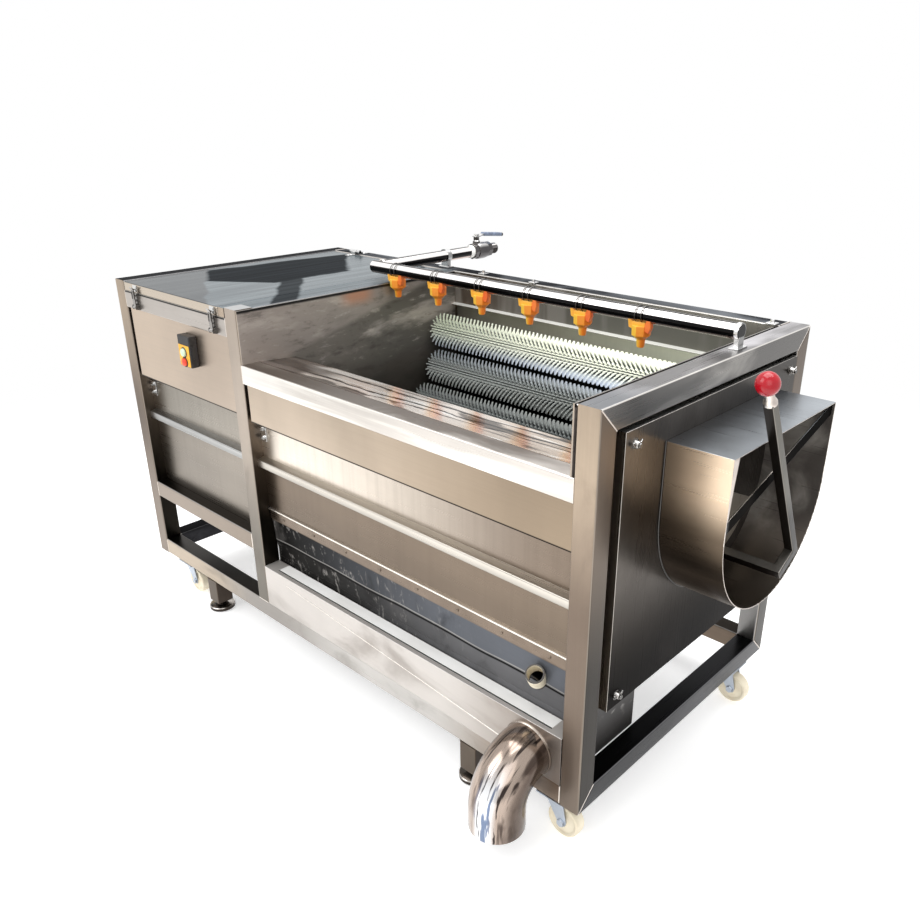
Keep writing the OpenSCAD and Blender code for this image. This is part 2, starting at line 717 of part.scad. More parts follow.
shelf_edge = panel_recess + 4;
module motor_shelf() color([0.55, 0.55, 0.55]) place()
    slab([tube + 2, shelf_edge, low_rail_top], [mid_l - 2, frame_w - shelf_edge, low_rail_top + shelf_t]);
motor_l = 250;
motor_foot = [150, 120];
foot_from = 60;
socket_l = 40;
// Gearbox, motor barrel and motor foot on the shelf
module gear_motor() color([0.25, 0.35, 0.45]) place() difference() {
    union() {
        translate([gearbox_l, motor_y - gearbox[1] / 2, shelf_z]) cube(gearbox);
        rod_x(gearbox_l - motor_l, gearbox_l, motor_y, motor_z, motor_d);
        slab([gearbox_l - foot_from - motor_foot[0], motor_y - motor_foot[1] / 2, shelf_z],
            [gearbox_l - foot_from, motor_y + motor_foot[1] / 2, motor_z]);
    }
    rod_x(gearbox_r - socket_l, gearbox_r + eps, motor_y, motor_z, output_d + 2 * run_fit);
}
module motor_sprocket() color([0.5, 0.5, 0.52]) place() {
    rod_x(gearbox_r - socket_l + 1, motor_x + sprocket_t, motor_y, motor_z, output_d);
    rod_x(motor_x, motor_x + sprocket_t, motor_y, motor_z, 2 * sprocket_r);
}

// The motor drives the roller at the bottom of the bed
drive_roller = ceil((90 - bed_from) / roller_step - 0.1);
motor_run = [roller_y(drive_roller) - motor_y, roller_z(drive_roller) - motor_z];
motor_turn = atan2(motor_run[1], motor_run[0]);
bed_links = 28;
cap_links = 12;
// Points round an arc of a chain, which bends in straight links
function arc_points(c, r, from, to, n, skip) =
    [for (i = [skip : n - skip]) let (a = from + (to - from) * i / n) c + r * [cos(a), sin(a)]];
// A closed loop of roller chain round all the rollers' sprockets, as an outline at radius r from them
module link_loop(r) polygon(concat(
    arc_points(bed_mid, bed_r + r, -bed_from, -bed_to, bed_links, 0),
    arc_points(bed_last, r / cos(90 / cap_links), -bed_to, -bed_to - 180, cap_links, 1),
    arc_points(bed_mid, bed_r - r, -bed_to, -bed_from, bed_links, 0),
    arc_points(bed_first, r / cos(90 / cap_links), 180 - bed_from, -bed_from, cap_links, 1)));
// The loop from the motor to the driven roller
module motor_loop(r) polygon(concat(
    arc_points([motor_y, motor_z], r / cos(90 / cap_links), motor_turn + 90, motor_turn + 270, cap_links, 0),
    arc_points([motor_y, motor_z] + motor_run, r / cos(90 / cap_links), motor_turn - 90, motor_turn + 90,
        cap_links, 0)));
module drive_chains() color([0.3, 0.28, 0.26]) place() {
    plate_yz(link_x + 1, link_x + sprocket_t - 1) difference() {
        link_loop(sprocket_r + chain_gap + chain_t);
        link_loop(sprocket_r + chain_gap);
    }
    plate_yz(motor_x + 1, motor_x + sprocket_t - 1) difference() {
        motor_loop(sprocket_r + chain_gap + chain_t);
        motor_loop(sprocket_r + chain_gap);
    }
}

hub_d = bearing_d - 22;
// Flanged bearing units on the outer faces of the two end walls
module roller_bearings() color([0.45, 0.47, 0.5]) place()
    for (k = [0 : roller_count - 1]) translate([0, roller_y(k), roller_z(k)]) {
        difference() {
            union() {
                rod_x(mid_r - bearing_t, mid_r, 0, 0, bearing_d);
                rod_x(mid_r - bearing_hub, mid_r, 0, 0, hub_d);
            }
            rod_x(mid_r - bearing_hub - eps, mid_r + eps, 0, 0, shaft_d + 2 * run_fit);
        }
        difference() {
            union() {
                rod_x(end_plate_r, end_plate_r + bearing_t, 0, 0, bearing_d);
                rod_x(end_plate_r, end_plate_r + bearing_hub - eps, 0, 0, hub_d);
            }
            rod_x(end_plate_r - eps, end_plate_r + bearing_hub, 0, 0, shaft_d + 2 * run_fit);
        }
    }

tuft_root = 3;
// A brush roller: shaft, chain sprocket, core, and staggered rows of bristle tufts
module brush_roller(k) color([0.86, 0.9, 0.84]) place() translate([0, roller_y(k), roller_z(k)]) {
    rod_x(shaft_l, shaft_r, 0, 0, shaft_d);
    rod_x(link_x, link_x + sprocket_t, 0, 0, 2 * sprocket_r);
    if (k == drive_roller) rod_x(motor_x, motor_x + sprocket_t, 0, 0, 2 * sprocket_r);
    rod_x(core_l, core_r, 0, 0, core_d);
    for (row = [0 : tuft_rows - 1], i = [0 : tufts_around - 1])
        translate([core_l + (row + 0.5) * (core_r - core_l) / tuft_rows, 0, 0])
            rotate([(i + row % 2 / 2) * 360 / tufts_around, 0, 0])
                slab([-tuft / 2, -tuft / 2, core_d / 2 - tuft_root],
                    [tuft / 2, tuft / 2, brush_d / 2 - gap]);
}

pivot_pad_d = 50;
pivot_cap = 3.7;
pivot_end = gate_x + gate_hub + gap;
module gate_pivot() color([0.6, 0.6, 0.6]) place() {
    rod_x(cover_x, cover_x + pivot_pad, chute_y, pivot_z, pivot_pad_d);
    rod_x(cover_x + pivot_pad, pivot_end, chute_y, pivot_z, pivot_d);
    rod_x(pivot_end, pivot_end + pivot_cap, chute_y, pivot_z, pivot_d + 10);
}
module gate_plate() color([0.5, 0.48, 0.46]) place() difference() {
    union() {
        plate_yz(gate_x, gate_x + gate_t) outlet_shape(gate_r, gate_spread, 0);
        rod_x(gate_x, gate_x + gate_hub, chute_y, pivot_z, pivot_d + 20);
    }
    rod_x(gate_x - eps, gate_x + gate_hub + eps, chute_y, pivot_z, pivot_d + 2 * run_fit);
}
knob_neck = 12;
knob_stem = 20;
lever_top = lever_reach - knob_d / 2 - knob_stem;
lever_low = -lever_drop - lever_bar / 2;
foot_left = -lever_foot - lever_bar / 2;
// Places an outline at the gate's pivot, turned so that its +Y runs up the lever
module on_lever() translate([chute_y, pivot_z]) rotate(lever_lean) children();
// The lever bar, its foot, and the rod that carries the turn in to the gate
module gate_lever() color([0.42, 0.41, 0.4]) place() {
    plate_yz(lever_x, lever_x + lever_bar) on_lever() {
        translate([-lever_bar / 2, lever_low]) square([lever_bar, lever_top - lever_low]);
        translate([foot_left, lever_low]) square([lever_foot + lever_bar, lever_bar]);
    }
    plate_yz(gate_x + gate_t, lever_mid) on_lever() translate([foot_left, lever_low]) square(lever_bar);
}
module lever_knob() color([0.85, 0.08, 0.15]) place()
    translate([lever_mid, chute_y, pivot_z]) rotate([lever_lean, 0, 0]) {
        translate([0, 0, lever_top]) cylinder(h = lever_reach - lever_top, d = knob_neck);
        translate([0, 0, lever_reach]) sphere(d = knob_d);
    }

module switch_box() color([0.12, 0.12, 0.12]) place() difference() {
    slab([switch_x, switch_y, switch_z], [switch_x + switch_w, skirt_recess, switch_z + switch_h]);
    for (z = button_z) rod_y(button_x, switch_y - eps, skirt_recess - switch_back, z, button_d + 2 * gap);
}
module push_button(z) rod_y(button_x, switch_y - button_out, switch_y + button_in, z, button_d);
module start_button() color([0.2, 0.7, 0.35]) place() push_button(button_z[0]);
module stop_button() color([0.85, 0.12, 0.1]) place() push_button(button_z[1]);

leaf_from = 8;
leaf_to = 38;
root_w = 12;
module lid_hinges() color([0.6, 0.6, 0.6]) place() for (x = hinge_at) {
    slab([x - hinge_w / 2, hinge_y + leaf_from, frame_h],
        [x + hinge_w / 2, hinge_y + leaf_to, frame_h + sheet]);
    for (s = [-hinge_w / 2, hinge_w / 2 - knuckle_w]) {
        rod_x(x + s, x + s + knuckle_w, hinge_y, hinge_z, knuckle_d);
        slab([x + s, hinge_y, frame_h + sheet], [x + s + knuckle_w, hinge_y + root_w, hinge_z]);
    }
    rod_x(x - hinge_w / 2, x + hinge_w / 2, hinge_y, hinge_z, pin_d);
}
catch_w = 22;
module cabinet_lid() color([0.62, 0.66, 0.7]) place() {
    slab([lid_left, 0, lid_top - sheet], [lid_right, lid_back, lid_top]);
    for (y = [0, lid_back - sheet]) slab([lid_left, y, lid_front], [lid_right, y + sheet, lid_top]);
    for (x = [lid_left, lid_right - sheet]) slab([x, 0, lid_front], [x + sheet, lid_back, lid_top]);
    for (x = latch_at)
        slab([x - catch_w / 2, -sheet, lid_front + sheet], [x + catch_w / 2, 0, lid_top - sheet]);
    for (x = hinge_at) {
        slab([x - lid_knuckle / 2, hinge_y - leaf_to, lid_top],
            [x + lid_knuckle / 2, hinge_y - root_w, lid_top + sheet]);
        difference() {
            union() {
                rod_x(x - lid_knuckle / 2, x + lid_knuckle / 2, hinge_y, hinge_z, knuckle_d);
                slab([x - lid_knuckle / 2, hinge_y - root_w - 4, lid_top],
                    [x + lid_knuckle / 2, hinge_y - 4, hinge_z]);
            }
            rod_x(x - lid_knuckle, x + lid_knuckle, hinge_y, hinge_z, pin_d + 2 * run_fit);
        }
    }
}

latch_pin = 4;
latch_ear = 5;
lever_w = 14;
lever_t = 3;
lever_eye = 9;
module latch_bases() color([0.75, 0.75, 0.75]) place() for (x = latch_at) {
    slab([x - latch_w / 2, -sheet, cab_low + sheet], [x + latch_w / 2, 0, cab_top - sheet]);
    for (s = [-latch_w / 2, latch_w / 2 - sheet])
        slab([x + s, latch_y - latch_ear, latch_z - latch_ear],
            [x + s + sheet, -sheet, latch_z + latch_ear]);
    rod_x(x - latch_w / 2, x + latch_w / 2, latch_y, latch_z, latch_pin);
}
module latch_lever(x) color([0.82, 0.82, 0.82]) place() difference() {
    union() {
        slab([x - lever_w / 2, latch_y - lever_t / 2, latch_z],
            [x + lever_w / 2, latch_y + lever_t / 2, latch_z + latch_h]);
        rod_x(x - lever_w / 2, x + lever_w / 2, latch_y, latch_z, lever_eye);
    }
    rod_x(x - lever_w, x + lever_w, latch_y, latch_z, latch_pin + 2 * run_fit);
}

stem_top = 0.8;
yoke_d = 52;
yoke_t = 12;
yoke_z = -plate_t - gap;
cheek_in = wheel_w / 2 + wheel_side;
axle_end = 4;
wheel_hub = 24;
module caster_plates() color([0.7, 0.7, 0.7]) place() for (p = caster_at) difference() {
    translate([p[0] - caster_pad / 2, p[1] - caster_pad / 2, -plate_t])
        cube([caster_pad, caster_pad, plate_t]);
    rod_z(p[0], p[1], -plate_t - eps, -stem_top, stem_d + 2 * run_fit);
}
// A caster fork, swung so that its wheel trails toward +X
module caster_fork(p) color([0.8, 0.8, 0.78]) place() translate([p[0], p[1], 0]) {
    rod_z(0, 0, yoke_z - 1, -stem_top - gap, stem_d);
    rod_z(0, 0, yoke_z - yoke_t, yoke_z, yoke_d);
    for (y = [-cheek_in - fork_t, cheek_in])
        plate_xz(y, y + fork_t) polygon([[-22, yoke_z - 10], [24, yoke_z - 10],
            [caster_trail + 12, axle_z - 9], [caster_trail - 9, axle_z - 9]]);
    rod_y(caster_trail, -cheek_in - fork_t - axle_end, cheek_in + fork_t + axle_end, axle_z, axle_d);
}
module caster_wheel(p) color([0.93, 0.88, 0.76]) place()
    translate([p[0] + caster_trail, p[1], axle_z]) difference() {
        union() {
            rod_y(0, -wheel_w / 2, wheel_w / 2, 0, wheel_d);
            rod_y(0, -cheek_in + gap, cheek_in - gap, 0, wheel_hub);
        }
        rod_y(0, -wheel_w, wheel_w, 0, axle_d + 2 * run_fit);
    }

leg_end = 8;
screw_room = 4;
module leg_sleeves() color([0.75, 0.74, 0.72]) place()
    for (p = leg_at) translate([p[0], p[1], 0]) difference() {
        slab([-tube / 2, -tube / 2, leg_z], [tube / 2, tube / 2, 0]);
        slab([tube_wall - tube / 2, tube_wall - tube / 2, leg_z + leg_end],
            [tube / 2 - tube_wall, tube / 2 - tube_wall, eps]);
        rod_z(0, 0, leg_z - eps, leg_z + leg_end + eps, screw_d + 2 * run_fit);
    }
module levelling_feet() color([0.55, 0.55, 0.55]) place() for (p = leg_at) {
    rod_z(p[0], p[1], foot_z, foot_z + foot_t, foot_d);
    rod_z(p[0], p[1], foot_z, -foot_travel - screw_room, screw_d);
}

rivet_count = 8;
rivet_d = 12;
rivet_h = 4;
wing = [6, 40, 4];
nut_h = 10;
// Wing nuts on the end cover's studs, and the rivets along the hopper's flange
module fasteners() color([0.8, 0.8, 0.8]) place() {
    for (p = stud_at) {
        rod_x(end_plate_r, cover_x + nut_h + 4, p[0], p[1], stud_d);
        rod_x(cover_x, cover_x + nut_h, p[0], p[1], stud_d + 8);
        translate([cover_x + 3, p[0] - wing[1] / 2, p[1] - wing[2] / 2]) cube(wing);
    }
    for (i = [0 : rivet_count - 1])
        rod_y(mid_r + (i + 0.5) * (trough_r - mid_r) / rivet_count, panel_recess + sheet - rivet_h,
            panel_recess + sheet, flange_z + flange_h / 2, rivet_d);
}

corner_posts();
long_rails();
cross_rails();
front_skirt();
front_lower_panel();
cabinet_front_panel();
cabinet_lower_panel();
back_panels();
left_end_panel();
drive_plate();
end_bearing_plate();
end_cover_panel();
discharge_chute();
trough_guards();
water_hopper();
sump_pan();
drain_elbow();
spray_bar();
spray_nozzles();
spray_brackets();
ball_valve();
valve_handle();
motor_shelf();
gear_motor();
motor_sprocket();
drive_chains();
roller_bearings();
brush_roller(0);  // brush_roller_1
brush_roller(1);  // brush_roller_2
brush_roller(2);  // brush_roller_3
brush_roller(3);  // brush_roller_4
brush_roller(4);  // brush_roller_5
brush_roller(5);  // brush_roller_6
brush_roller(6);  // brush_roller_7
brush_roller(7);  // brush_roller_8
gate_pivot();
gate_plate();
gate_lever();
lever_knob();
switch_box();
start_button();
stop_button();
lid_hinges();
cabinet_lid();
latch_bases();
latch_lever(latch_at[0]);  // latch_lever_1
latch_lever(latch_at[1]);  // latch_lever_2
caster_plates();
caster_fork(caster_at[0]);  // caster_fork_1
caster_fork(caster_at[1]);  // caster_fork_2
caster_fork(caster_at[2]);  // caster_fork_3
caster_fork(caster_at[3]);  // caster_fork_4
caster_wheel(caster_at[0]);  // caster_wheel_1
caster_wheel(caster_at[1]);  // caster_wheel_2
caster_wheel(caster_at[2]);  // caster_wheel_3
caster_wheel(caster_at[3]);  // caster_wheel_4
leg_sleeves();
levelling_feet();
fasteners();
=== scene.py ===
"""Looks of the brush roller vegetable washer, laid over its CAD frame."""

import math
import random

import bmesh
import bpy
from mathutils import Matrix, Vector


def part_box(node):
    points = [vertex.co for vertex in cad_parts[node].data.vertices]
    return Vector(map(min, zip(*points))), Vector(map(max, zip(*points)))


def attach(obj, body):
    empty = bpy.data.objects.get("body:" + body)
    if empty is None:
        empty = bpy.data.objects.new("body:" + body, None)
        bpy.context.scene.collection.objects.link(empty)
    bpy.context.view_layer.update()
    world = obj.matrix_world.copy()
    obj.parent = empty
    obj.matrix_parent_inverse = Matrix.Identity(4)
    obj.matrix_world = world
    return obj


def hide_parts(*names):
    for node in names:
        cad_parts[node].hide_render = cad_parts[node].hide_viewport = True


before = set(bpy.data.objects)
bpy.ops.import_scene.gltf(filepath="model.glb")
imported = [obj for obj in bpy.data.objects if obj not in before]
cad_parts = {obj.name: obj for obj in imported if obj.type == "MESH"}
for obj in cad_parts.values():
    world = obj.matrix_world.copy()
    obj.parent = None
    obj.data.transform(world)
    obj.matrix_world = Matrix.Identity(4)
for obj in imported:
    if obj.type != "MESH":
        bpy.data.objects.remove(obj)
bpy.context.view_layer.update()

MM = 0.001
CORNER = Vector(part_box("corner_posts")[0])


def at(x, y, z):
    """A point in millimetres from the frame's front left lower corner, in the row frame."""
    return CORNER + Vector((x, y, z)) * MM


def about(point, axis, degrees):
    """A turn about an axis through a point of the machine."""
    there = Matrix.Translation(at(*point))
    return there @ Matrix.Rotation(math.radians(degrees), 4, axis) @ there.inverted()


def foot_of(node):
    """The height of a node's lowest edge above the frame's bottom."""
    return (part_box(node)[0][2] - CORNER.z) / MM


def tone(red, green, blue):
    """A colour as it looks on a screen, 0 to 255, as the linear colour that a shader takes."""
    return tuple(((c / 255 + 0.055) / 1.055) ** 2.4 for c in (red, green, blue)) + (1.0,)


class Val:
    """A node's output that can be used in sums."""

    def __init__(self, finish, socket):
        self.finish = finish
        self.socket = socket

    def sum(self, operation, a, b):
        return self.finish.node("ShaderNodeMath", {0: a, 1: b}, operation=operation)

    def __add__(self, other):
        return self.sum("ADD", self, other)

    def __radd__(self, other):
        return self.sum("ADD", other, self)

    def __sub__(self, other):
        return self.sum("SUBTRACT", self, other)

    def __rsub__(self, other):
        return self.sum("SUBTRACT", other, self)

    def __mul__(self, other):
        return self.sum("MULTIPLY", self, other)

    def __rmul__(self, other):
        return self.sum("MULTIPLY", other, self)

    def rise(self, low, high):
        """0 below low, 1 above high, smooth between them."""
        return self.finish.node("ShaderNodeMapRange", {0: self, 1: low, 2: high, 3: 0.0, 4: 1.0},
                                interpolation_type="SMOOTHSTEP")

    def band(self, low, high, soft):
        """1 between low and high, 0 outside, with soft edges."""
        return self.rise(low - soft, low + soft) * (1 - self.rise(high - soft, high + soft))


class Finish:
    """A procedural material on the object's own coordinates."""

    def __init__(self, name):
        self.material = bpy.data.materials.new(name)
        self.material.use_nodes = True
        self.tree = self.material.node_tree
        self.tree.nodes.clear()
        self.shader = self.tree.nodes.new("ShaderNodeBsdfPrincipled")
        out = self.tree.nodes.new("ShaderNodeOutputMaterial")
        self.tree.links.new(self.shader.outputs[0], out.inputs[0])
        self.spot = self.node("ShaderNodeTexCoord", out="Object")
        inside = self.node("ShaderNodeVectorMath", {0: self.spot, 1: CORNER}, operation="SUBTRACT")
        self.x, self.y, self.z = [Val(self, s) * 1000 for s in self.split(inside)]
        facing = self.node("ShaderNodeTexCoord", out="Normal")
        self.to_right, self.to_back, self.up = [Val(self, s) for s in self.split(facing)]

    def node(self, kind, values=None, out=0, **settings):
        made = self.tree.nodes.new(kind)
        for name, value in settings.items():
            setattr(made, name, value)
        for key, value in (values or {}).items():
            self.put(made.inputs[key], value)
        return Val(self, made.outputs[out])

    def put(self, socket, value):
        """Links or sets an input; a colour of three numbers is one as it looks on a screen."""
        if isinstance(value, Val):
            self.tree.links.new(value.socket, socket)
        elif socket.type == "RGBA" and len(value) == 3:
            socket.default_value = tone(*value)
        else:
            socket.default_value = value

    def split(self, vector):
        return self.node("ShaderNodeSeparateXYZ", {0: vector}).socket.node.outputs

    def mix(self, amount, a, b, blend="MIX"):
        return self.node("ShaderNodeMix", {0: amount, 6: a, 7: b}, out=2, data_type="RGBA",
                         blend_type=blend)

    def noise(self, scale, stretch=(1, 1, 1), detail=3.0, rough=0.55, warp=0.0):
        spot = self.node("ShaderNodeMapping", {"Vector": self.spot, "Scale": stretch})
        return self.node("ShaderNodeTexNoise", {"Vector": spot, "Scale": scale, "Detail": detail,
                                                "Roughness": rough, "Distortion": warp})

    def facing(self, front, right, top, other, rim=None, shine=0.8):
        """Painted light and shade: a colour for each way that a face looks, and a painted highlight on the
        rounded edges between them.
        """
        colour = self.mix((0 - self.to_back).rise(0.4, 0.8), other, front)
        colour = self.mix(self.to_right.rise(0.4, 0.8), colour, right)
        colour = self.mix(self.up.rise(0.4, 0.8), colour, top)
        if rim is None:
            return colour
        # The painted highlight on the rounded edges
        a, b, c = [way.band(0.38, 0.92, 0.05) for way in (0 - self.to_back, self.to_right, self.up)]
        return self.mix((1 - (1 - a * b) * (1 - b * c) * (1 - a * c)) * shine, colour, rim)

    def surface(self, colour, metal, rough, **others):
        values = {"Base Color": colour, "Metallic": metal, "Roughness": rough, **others}
        for key, value in values.items():
            self.put(self.shader.inputs[key], value)
        return self

    def rolled(self, colour, cloud, grain, along, size=4.0, metal=1.0, rough=0.3, spread=0.2, **others):
        """A surface with clouded patches, the fine lines of rolled sheet, and a sheen that follows them."""
        stretch = {"X": (4, 260, 260), "Y": (260, 4, 260), "Z": (260, 260, 4)}[along]
        patches = self.noise(size, detail=5.0, rough=0.62)
        lines = self.noise(1.0, stretch=stretch, detail=2.0)
        shade = 1 + (patches - 0.5) * (2 * cloud) + (lines - 0.5) * (2 * grain)
        colour = self.mix(1.0, colour, shade, "MULTIPLY")
        return self.surface(colour, metal, rough + (lines - 0.5) * spread, **others)


def dimmed(colour, part):
    """A part of a colour's brightness."""
    return tuple(c * part for c in colour)


def steel(name, front, right, top, other, rough=0.3, cloud=0.25, grain=0.08, along="X", size=4.0,
          metal=1.0):
    """Sheet or tube steel in four tones of painted light and shade, for the faces that look to the front,
    right, up and elsewhere.
    """
    look = Finish(name)
    return look.rolled(look.facing(front, right, top, other), cloud, grain, along, size, metal, rough)


def plastic(name, colour, shade, rough=0.35, size=30.0):
    """Moulded plastic with a little variation between two tones."""
    look = Finish(name)
    mottled = look.mix(look.noise(size, detail=4.0).rise(0.35, 0.7), colour, shade)
    return look.surface(mottled, 0.0, rough + look.noise(90.0) * 0.1)


class Shape:
    """A mesh under construction, in the machine's millimetres."""

    def __init__(self):
        self.mesh = bmesh.new()

    def round(self, edges, width, segments=2, clamp=True):
        if width:
            bmesh.ops.bevel(self.mesh, geom=list(edges), offset=width * MM, offset_type="OFFSET",
                            segments=segments, profile=0.5, affect="EDGES", clamp_overlap=clamp,
                            material=-1)

    def block(self, low, high, edge=0.0, turn=Matrix(), segments=2):
        low, high = at(*low), at(*high)
        size = Matrix.Diagonal((*(high - low), 1.0))
        made = bmesh.ops.create_cube(self.mesh, size=1.0,
                                     matrix=turn @ Matrix.Translation((low + high) / 2) @ size)["verts"]
        self.round({e for v in made for e in v.link_edges}, edge, segments)
        return self

    def rod(self, start, end, r, r_end=None, sides=32, edge=0.0, turn=Matrix()):
        a, b = turn @ at(*start), turn @ at(*end)
        lie = (b - a).to_track_quat("Z", "Y").to_matrix().to_4x4()
        made = bmesh.ops.create_cone(self.mesh, cap_ends=True, segments=sides, radius1=r * MM,
                                     radius2=(r if r_end is None else r_end) * MM, depth=(b - a).length,
                                     matrix=Matrix.Translation((a + b) / 2) @ lie)["verts"]
        rims = {e for v in made for e in v.link_edges if any(len(f.verts) == sides for f in e.link_faces)}
        self.round(rims, edge)
        return self

    def turned(self, start, axis, profile, sides=40, closed=False, turn=Matrix()):
        """A profile of (distance along the axis, radius) points, turned about the axis."""
        axis = (turn.to_3x3() @ Vector(axis)).normalized()
        out = axis.orthogonal().normalized()
        middle = turn @ at(*start)
        points = [self.mesh.verts.new(middle + (axis * d + out * r) * MM) for d, r in profile]
        pairs = list(zip(points, points[1:])) + ([(points[-1], points[0])] if closed else [])
        edges = [self.mesh.edges.new(pair) for pair in pairs]
        bmesh.ops.spin(self.mesh, geom=points + edges, cent=middle, axis=axis, angle=math.tau, steps=sides,
                       use_merge=True)
        return self

    def sleeve(self, start, axis, length, inner, outer, sides):
        """A plain ring along an axis."""
        profile = [(0, inner), (0, outer), (length, outer), (length, inner)]
        return self.turned(start, axis, profile, sides, closed=True)

    def extruded(self, outline, by, edge=0.0, longer=0.0):
        """A flat outline drawn out into a solid, with its sharp edges of some length rounded."""
        face = self.mesh.faces.new([self.mesh.verts.new(at(*p)) for p in outline])
        grown = bmesh.ops.extrude_face_region(self.mesh, geom=[face])["geom"]
        ends = [g for g in grown if isinstance(g, bmesh.types.BMVert)]
        bmesh.ops.translate(self.mesh, verts=ends, vec=Vector(by) * MM)
        faces = {f for v in ends for f in v.link_faces} | {face}
        bmesh.ops.recalc_face_normals(self.mesh, faces=list(faces))
        sharp = {e for f in faces for e in f.edges
                 if e.calc_face_angle(0) > 0.3 and e.calc_length() > longer * MM}
        self.round(sharp, edge)
        return self

    def wire(self, path, r, closed=False):
        """A round bead or wire through the points of a path."""
        curve = bpy.data.curves.new("bead", "CURVE")
        curve.dimensions = "3D"
        curve.bevel_depth = r * MM
        curve.bevel_resolution = 2
        curve.use_fill_caps = True
        line = curve.splines.new("POLY")
        line.points.add(len(path) - 1)
        for point, place in zip(line.points, path):
            point.co = (*at(*place), 1.0)
        line.use_cyclic_u = closed
        holder = bpy.data.objects.new("bead", curve)
        self.mesh.from_mesh(holder.to_mesh())
        holder.to_mesh_clear()
        bpy.data.objects.remove(holder)
        bpy.data.curves.remove(curve)
        return self

    def finish(self, name, body, look, slot, *stands_for, smooth=32, wall=0.0):
        bmesh.ops.remove_doubles(self.mesh, verts=self.mesh.verts[:], dist=1e-6)
        bmesh.ops.recalc_face_normals(self.mesh, faces=self.mesh.faces[:])
        data = bpy.data.meshes.new(name)
        self.mesh.to_mesh(data)
        self.mesh.free()
        data.shade_smooth()
        data.set_sharp_from_angle(angle=math.radians(smooth))
        data.materials.append(look.material)
        piece = bpy.data.objects.new(name, data)
        bpy.context.scene.collection.objects.link(piece)
        if wall:
            solid = piece.modifiers.new("wall", "SOLIDIFY")
            solid.thickness = wall * MM
            solid.offset = -1.0
        piece.modifiers.new("flat_faces", "WEIGHTED_NORMAL").keep_sharp = True
        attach(piece, body)
        if stands_for:
            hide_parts(*stands_for)
        return piece


def skin(node, name, look, slot, edge, longer=40, smooth=32, where=None, body="frame", segments=2):
    """A copy of a CAD node with its long outer edges rounded."""
    shape = Shape()
    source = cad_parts[node]
    shape.mesh.from_mesh(source.data)
    shape.mesh.transform(source.matrix_world)
    bmesh.ops.remove_doubles(shape.mesh, verts=shape.mesh.verts[:], dist=1e-6)
    bmesh.ops.dissolve_limit(shape.mesh, angle_limit=0.002, verts=shape.mesh.verts[:],
                             edges=shape.mesh.edges[:])
    bmesh.ops.recalc_face_normals(shape.mesh, faces=shape.mesh.faces[:])
    sharp = []
    for e in shape.mesh.edges:
        if e.is_manifold and e.is_convex and e.calc_face_angle(0) > 0.7 and e.calc_length() > longer * MM:
            middle = ((e.verts[0].co + e.verts[1].co) / 2 - CORNER) / MM
            if where is None or where(middle):
                sharp.append(e)
    shape.round(sharp, edge, segments, clamp=False)
    return shape.finish(name, body, look, slot, node, smooth=smooth)


def in_x(x, points):
    """Points of (y, z) in the plane across the machine at x."""
    return [(x, y, z) for y, z in points]


def in_y(y, points):
    """Points of (x, z) in the upright plane along the machine at y."""
    return [(x, y, z) for x, z in points]


def arc(centre, r, start, end, steps=24):
    return [(centre[0] + r * math.cos(a), centre[1] + r * math.sin(a))
            for a in [start + (end - start) * k / steps for k in range(steps + 1)]]


def toothed(centre, r, depth, teeth):
    """The outline of a wheel with square teeth."""
    outline = []
    for k in range(teeth * 4):
        a = math.tau * k / (teeth * 4)
        reach = r if k % 4 in (0, 1) else r - depth
        outline.append((centre[0] + reach * math.cos(a), centre[1] + reach * math.sin(a)))
    return outline


bpy.context.view_layer.update()

# Sizes of the machine, in millimetres, as the CAD has them
RIGHT, WIDE, TALL, TUBE = 1700, 800, 870, 50
MID_LEFT, MID_RIGHT, TROUGH_RIGHT = 570, 620, 1650
PLATE_LEFT, PLATE_RIGHT = 624, 1640
COVER_X, CHUTE_X, LEVER_X = 1704, 1841, 1856
PIVOT_Y, PIVOT_Z, LEAN = 422, 597, 28.9
CHUTE_R, CHUTE_TOP = 216, 760
SPRAY_Y, SPRAY_Z, FEED_X = 505, 904, 562
NOZZLES = [643.5 + k * 160.1 for k in range(6)]
BRUSH_LEFT, BRUSH_RIGHT = 632, 1632
BED_Y, BED_Z, BED_R = 400.04, 705.1, 279.96
FIRST, STEP = math.radians(0.0196), math.radians(22.451)
ROLLERS = [(BED_Y + BED_R * math.cos(FIRST + k * STEP), BED_Z - BED_R * math.sin(FIRST + k * STEP))
           for k in range(8)]
DRIVEN = 5
MOTOR_Y, MOTOR_Z = 250, 339
ROLLER_CHAIN_X, MOTOR_CHAIN_X = 584, 564
CHAIN_R, CHAIN_PITCH = 39.3, 12.7
LATCHES, LATCH_PIN_Y, LATCH_PIN_Z = (117, 517), -8, 806
HINGES, HINGE_Y, HINGE_Z = (160, 460), 750, 878
SUMP_TOP = 168
BUTTON_X, START_Z, STOP_Z = 383, 728, 702
CASTER_TALL, WHEEL_R = 105, 40
CASTERS = [(145, 35), (1624, 35), (35, 690), (1665, 690)]
LEGS = [(306, 25), (1388, 25), (306, 775), (1388, 775)]
STUDS = [(100, 250), (714, 250), (100, 784), (714, 784)]


# Finishes
NO_SHEEN = {"Specular IOR Level": 0.0}


